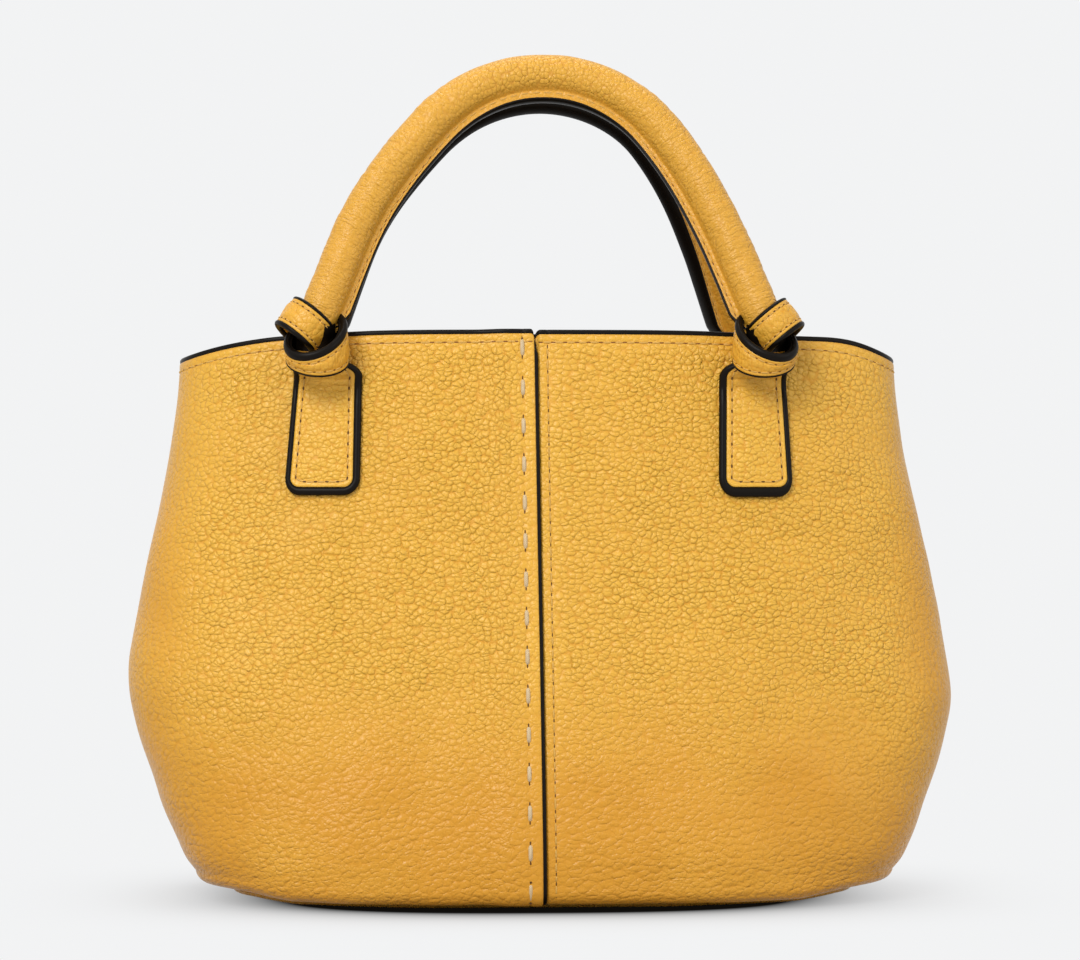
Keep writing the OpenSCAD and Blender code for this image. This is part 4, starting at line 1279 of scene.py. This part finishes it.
facingDepth = panel["thick"] + panel["gap"]
liningDepth = facingDepth + panel["facing"] + panel["gap"]
for half, turn, seed in (("front", False, 41), ("back", True, 47)):
    drops = np.concatenate([[0, 0.0004], np.arange(0.0009, 0.0255, 0.0006), [0.0256, panel["facingHeight"]]])
    grid, near, far = innerSkin(drops, facingDepth, panel["facing"])
    e, drop = grid["e"], grid["drop"]
    soft = 0.00012 * ripples(seed + 1, 14, 0.006, 0.02)(e, drop)
    soft = soft + 0.00015 * hump(drop - panel["rimStitch"], 0.0005)
    far = far + grid["normal"] * soft[..., None]
    notch(grid, near)
    notch(grid, far)
    place = twice(field(e + 0.7, drop))
    put(f"{half}_facing_leather", closedSkin(near, far), facingLeather, "bag", "facing_leather",
        (f"{half}_facing",), turn, place=place, mask=np.full(place.shape, (0.2, 0, 0)))
    row = int(np.argmin(np.abs(drops - panel["rimStitch"])))
    seam = seamShift(1.0, 0)
    for label, chosen in (("left", e[0] < seam - 0.0018), ("right", e[0] > seam + 0.0027)):
        line, normals = far[row][chosen][2:-2], -grid["normal"][row][chosen][2:-2]
        sewLine(f"{half}_facing_{label}_stitches", line, normals, sew["rimPitch"], sew["rimLength"],
                sew["rimRadius"], "bag", 6, turn, sew["facingMark"], dark=softHoleShade)

    # lining: cloth a little wider than the wall, so it hangs in shallow folds
    drops = np.linspace(0.0247, 0.1812, 150)
    height = drops[-1] - drops[0]

    def folds(grid):
        e, drop = grid["e"], grid["drop"]
        down = drop / height
        rest = ease(down / 0.10) * ease((1 - down) / 0.06) * ease(grid["side"] / 0.012)
        waves = np.clip(0.5 + 0.5 * ripples(seed + 2, 9, 0.020, 0.060)(e * 1.6, drop * 0.45), 0, 1.4)
        small = 0.12 * ripples(seed + 3, 12, 0.008, 0.020)(e, drop)
        puckers = 0.12 * np.sin(e / 0.0045) * hump(down - 0.02, 0.05) * ease(down / 0.01)
        return (0.0022 * waves + 0.0016 * small) * rest + 0.001 * np.maximum(puckers, 0)
    grid, near, far = innerSkin(drops, liningDepth, panel["lining"], folds)
    lining = put(f"{half}_lining_cloth", closedSkin(near, far), liningCloth, "bag", "lining_cloth",
                 (f"{half}_lining",), turn, place=twice(field(grid["e"], grid["drop"])))
print("facings and linings done")


# rings and points of the base's flat pieces; how far in from the wall, underside and top of the hidden ones
plate = dict(steps=46, around=220, board=(0.0054, 0.0044, 0.0063), cloth=(0.0036, 0.0066, 0.0071))


def plateShape(inset, low, high, relief=None, edge=0.0004):
    # a flat piece with the base's outline, rings from the middle of its underside to that of its top
    theta = np.linspace(0, math.tau, plate["around"], endpoint=False)
    k = squared(theta, form["floorSquare"])
    wide, deep = float(halfWidth(footShare)) - inset, float(halfDepth(footShare)) - inset
    outline = field(wide * k * np.sin(theta), -deep * k * np.cos(theta))
    shares = np.linspace(0.02, 1, plate["steps"])
    sizes = np.append(shares[:-1], 1 - edge / deep)
    rings = [outline * size + (0, 0, low) for size in sizes]
    for a in np.radians([-45, 0, 45]):
        level = (low + high) / 2 + (high - low) / 2 * math.sin(a)
        rings.append(outline * (1 - edge / deep * (1 - math.cos(a))) + (0, 0, level))
    for size, share in zip(sizes[::-1], shares[::-1]):
        ring = outline * size + (0, 0, high)
        if relief:
            ring[:, 2] += relief(ring[:, 0], ring[:, 1]) * ease((1 - share) / 0.12)
        rings.append(ring)
    return loft(np.array(rings))


shape = plateShape(form["turn"] + form["under"] + panel["gap"], 0.0, panel["thick"])
put("base_panel_leather", shape, leftLeather, "bag", "body_leather", ("base_panel",),
    place=shape[0] * (1, 1, 0) + (5.0, 0, 0), mask=np.full(shape[0].shape, (0.45, 0.1, 0.15)))
shape = plateShape(*plate["board"], edge=0.0006)
put("base_board_fibre", shape, fibreBoard, "bag", "stiffener_board", ("base_board",))
baseWaves = ripples(61, 12, 0.018, 0.050)
shape = plateShape(*plate["cloth"], relief=lambda x, y: 0.0003 * (1 + baseWaves(x, y)), edge=0.0002)
cloth = put("base_lining_cloth", shape, liningCloth, "bag", "lining_cloth", ("base_lining",), place=shape[0])

# the magnetic snap inside the rim, square to the wall
slope = math.atan2(float(wallY(0, 0.183)) - float(wallY(0, 0.169)), 0.014)
inward = np.array([0, math.cos(slope), -math.sin(slope)])
high = form["rim"] - 0.014
centre = np.array([0, float(wallY(0, high)), high]) + inward * liningDepth
disc = [(0.0001, 0.0), (0.0066, 0.0), (0.0070, 0.0003), (0.0070, 0.0009), (0.0067, 0.0013), (0.0060, 0.0016),
        (0.0056, 0.0021), (0.0052, 0.0022), (0.0030, 0.0022)]
stud = [(0.0022, 0.0023), (0.0019, 0.0026), (0.0019, 0.0034), (0.0016, 0.0037), (0.0001, 0.0037)]
socket = [(0.0026, 0.0021), (0.0024, 0.0018), (0.0024, 0.0007), (0.0001, 0.0007)]
for kind, profile, turn in (("snap_stud", disc + stud, False), ("snap_socket", disc + socket, True)):
    shape = lathe(profile, centre, inward)
    place = turned(shape[0]) if turn else shape[0]
    put(kind + "_plated", shape, snapMetal, "bag", "snap_metal", (kind,), turn, sharp=30, place=place)

# the hidden stiffeners keep their CAD solids
for kept in bpy.context.scene.objects:
    for word, look in (("patch", fibreBoard), ("seam_tape", seamTape)):
        if kept.type == "MESH" and kept.name.split(".")[0].endswith(word):
            kept.data.materials.clear()
            kept.data.materials.append(look)
print("inside done")


# floor, camera and light

# foot and the two settings after it size the contact shadow painted on the floor round the bag's foot
studio = dict(
    low=0.43, high=0.53, backdrop=(0.890, 0.896, 0.902, 1), floor=(0.80, 0.82, 0.85, 1),
    bounce=(0.45, 0.45, 0.45, 1), foot=(0.088, 0.058), footRound=2.7, footFade=0.011, plainNear=0.81,
    fadeTo=0.07, floorSize=30.0, key=17.5, fill=4.2, top=5)


def seenBy(tree):
    # 1 for what the camera, a reflection or a look through glass meets, 0 for light
    path = tree.nodes.new("ShaderNodeLightPath").outputs
    both = maths(tree, "MAXIMUM", path["Is Camera Ray"], path["Is Glossy Ray"])
    return maths(tree, "MAXIMUM", both, path["Is Transmission Ray"])


def shadeFloor():
    # pale floor that keeps the real shadow near the bag, has a dark contact shadow painted round the bag's
    # foot, and becomes the plain backdrop further out
    made, tree, shader = blankMaterial("pale_floor")
    x, y, _ = wire(tree, "ShaderNodeSeparateXYZ", {}, {"Vector": placeOf(tree, "")}).outputs
    # painted contact shadow: darkest at a rounded square round the bag's foot, fading outwards
    shares = [maths(tree, "POWER", maths(tree, "ABSOLUTE", times(tree, v, 1 / reach)), studio["footRound"])
              for v, reach in zip((x, y), studio["foot"])]
    away = maths(tree, "POWER", plus(tree, *shares), 1 / studio["footRound"])
    away = maths(tree, "MAXIMUM", times(tree, plus(tree, away, -1.0), studio["foot"][1]), 0.0)
    paintedShadow = maths(tree, "POWER", 2.718, times(tree, away, -1 / studio["footFade"]))
    far = times(tree, ranged(tree, away, 0.0, studio["fadeTo"], studio["plainNear"], 1.0), seenBy(tree))
    paint = mixed(tree, paintedShadow, studio["floor"], (0.004, 0.004, 0.004, 1))
    feed(tree, shader, {
        "Base Color": mixed(tree, seenBy(tree), studio["bounce"], paint), "Roughness": 0.95,
        "Specular IOR Level": 0.0})
    # the plain backdrop carries the same painted contact shadow
    plain = mixed(tree, paintedShadow, studio["backdrop"], (0.006, 0.005, 0.004, 1))
    plain = wire(tree, "ShaderNodeEmission", {}, {"Color": plain, "Strength": 1.0})
    both = wire(tree, "ShaderNodeMixShader", {}, {0: far, 1: shader.outputs[0], 2: plain.outputs[0]})
    tree.links.new(both.outputs[0], [n for n in tree.nodes if n.type == "OUTPUT_MATERIAL"][0].inputs[0])
    return made


corners = studio["floorSize"] * np.array([(-1, -1, 0), (1, -1, 0), (1, 1, 0), (-1, 1, 0)])
floor = makePiece("floor", (corners, [(0, 1, 2, 3)]), shadeFloor(), recalc=False)
floor.location = (0, 0, -0.0002)
floor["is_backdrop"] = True

scene = bpy.context.scene
scene.view_settings.view_transform = "Standard"
camera = bpy.data.objects.new("camera", bpy.data.cameras.new("camera"))
scene.collection.objects.link(camera)
scene.camera = camera
view = dict(away=1.25, high=0.1409, turn=math.radians(3), lens=121.87, shift=0.0023)
camera.location = (
    -math.sin(view["turn"]) * view["away"], -math.cos(view["turn"]) * view["away"], view["high"])
camera.rotation_euler = (math.radians(90), 0, -view["turn"])
camera.data.lens = view["lens"]
camera.data.sensor_width = 36
camera.data.shift_x = view["shift"]
camera.data.clip_start = 0.05

world = bpy.data.worlds.new("studio")
scene.world = world
world.use_nodes = True
sky = world.node_tree
ground = sky.nodes["Background"]
skyward = wire(sky, "ShaderNodeTexCoord", {}, {}).outputs["Generated"]
upward = wire(sky, "ShaderNodeSeparateXYZ", {}, {"Vector": skyward}).outputs["Z"]
feed(sky, ground, {
    "Color": (1, 1, 1, 1), "Strength": ranged(sky, upward, 0.0, 0.8, studio["low"], studio["high"])})
plain = wire(sky, "ShaderNodeBackground", {}, {"Color": studio["backdrop"], "Strength": 1.0})
both = wire(sky, "ShaderNodeMixShader", {}, {0: seenBy(sky), 1: ground.outputs[0], 2: plain.outputs[0]})
sky.links.new(both.outputs[0], sky.nodes["World Output"].inputs[0])


def softLight(name, place, aim, size, power):
    data = bpy.data.lights.new(name, "AREA")
    data.shape = "DISK"
    data.size = size
    data.energy = power
    lamp = bpy.data.objects.new(name, data)
    lamp.location = place
    lamp.rotation_euler = (Vector(aim) - Vector(place)).to_track_quat("-Z", "Y").to_euler()
    scene.collection.objects.link(lamp)


softLight("key_light", (-0.60, -1.35, 1.00), (0, 0, 0.14), 0.8, studio["key"])
softLight("fill_light", (1.3, -1.0, 0.65), (0, 0, 0.12), 1.0, studio["fill"])
softLight("top_light", (-0.10, 0.28, 1.45), (0, 0, 0.10), 0.7, studio["top"])
print("stage done")

low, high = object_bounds()
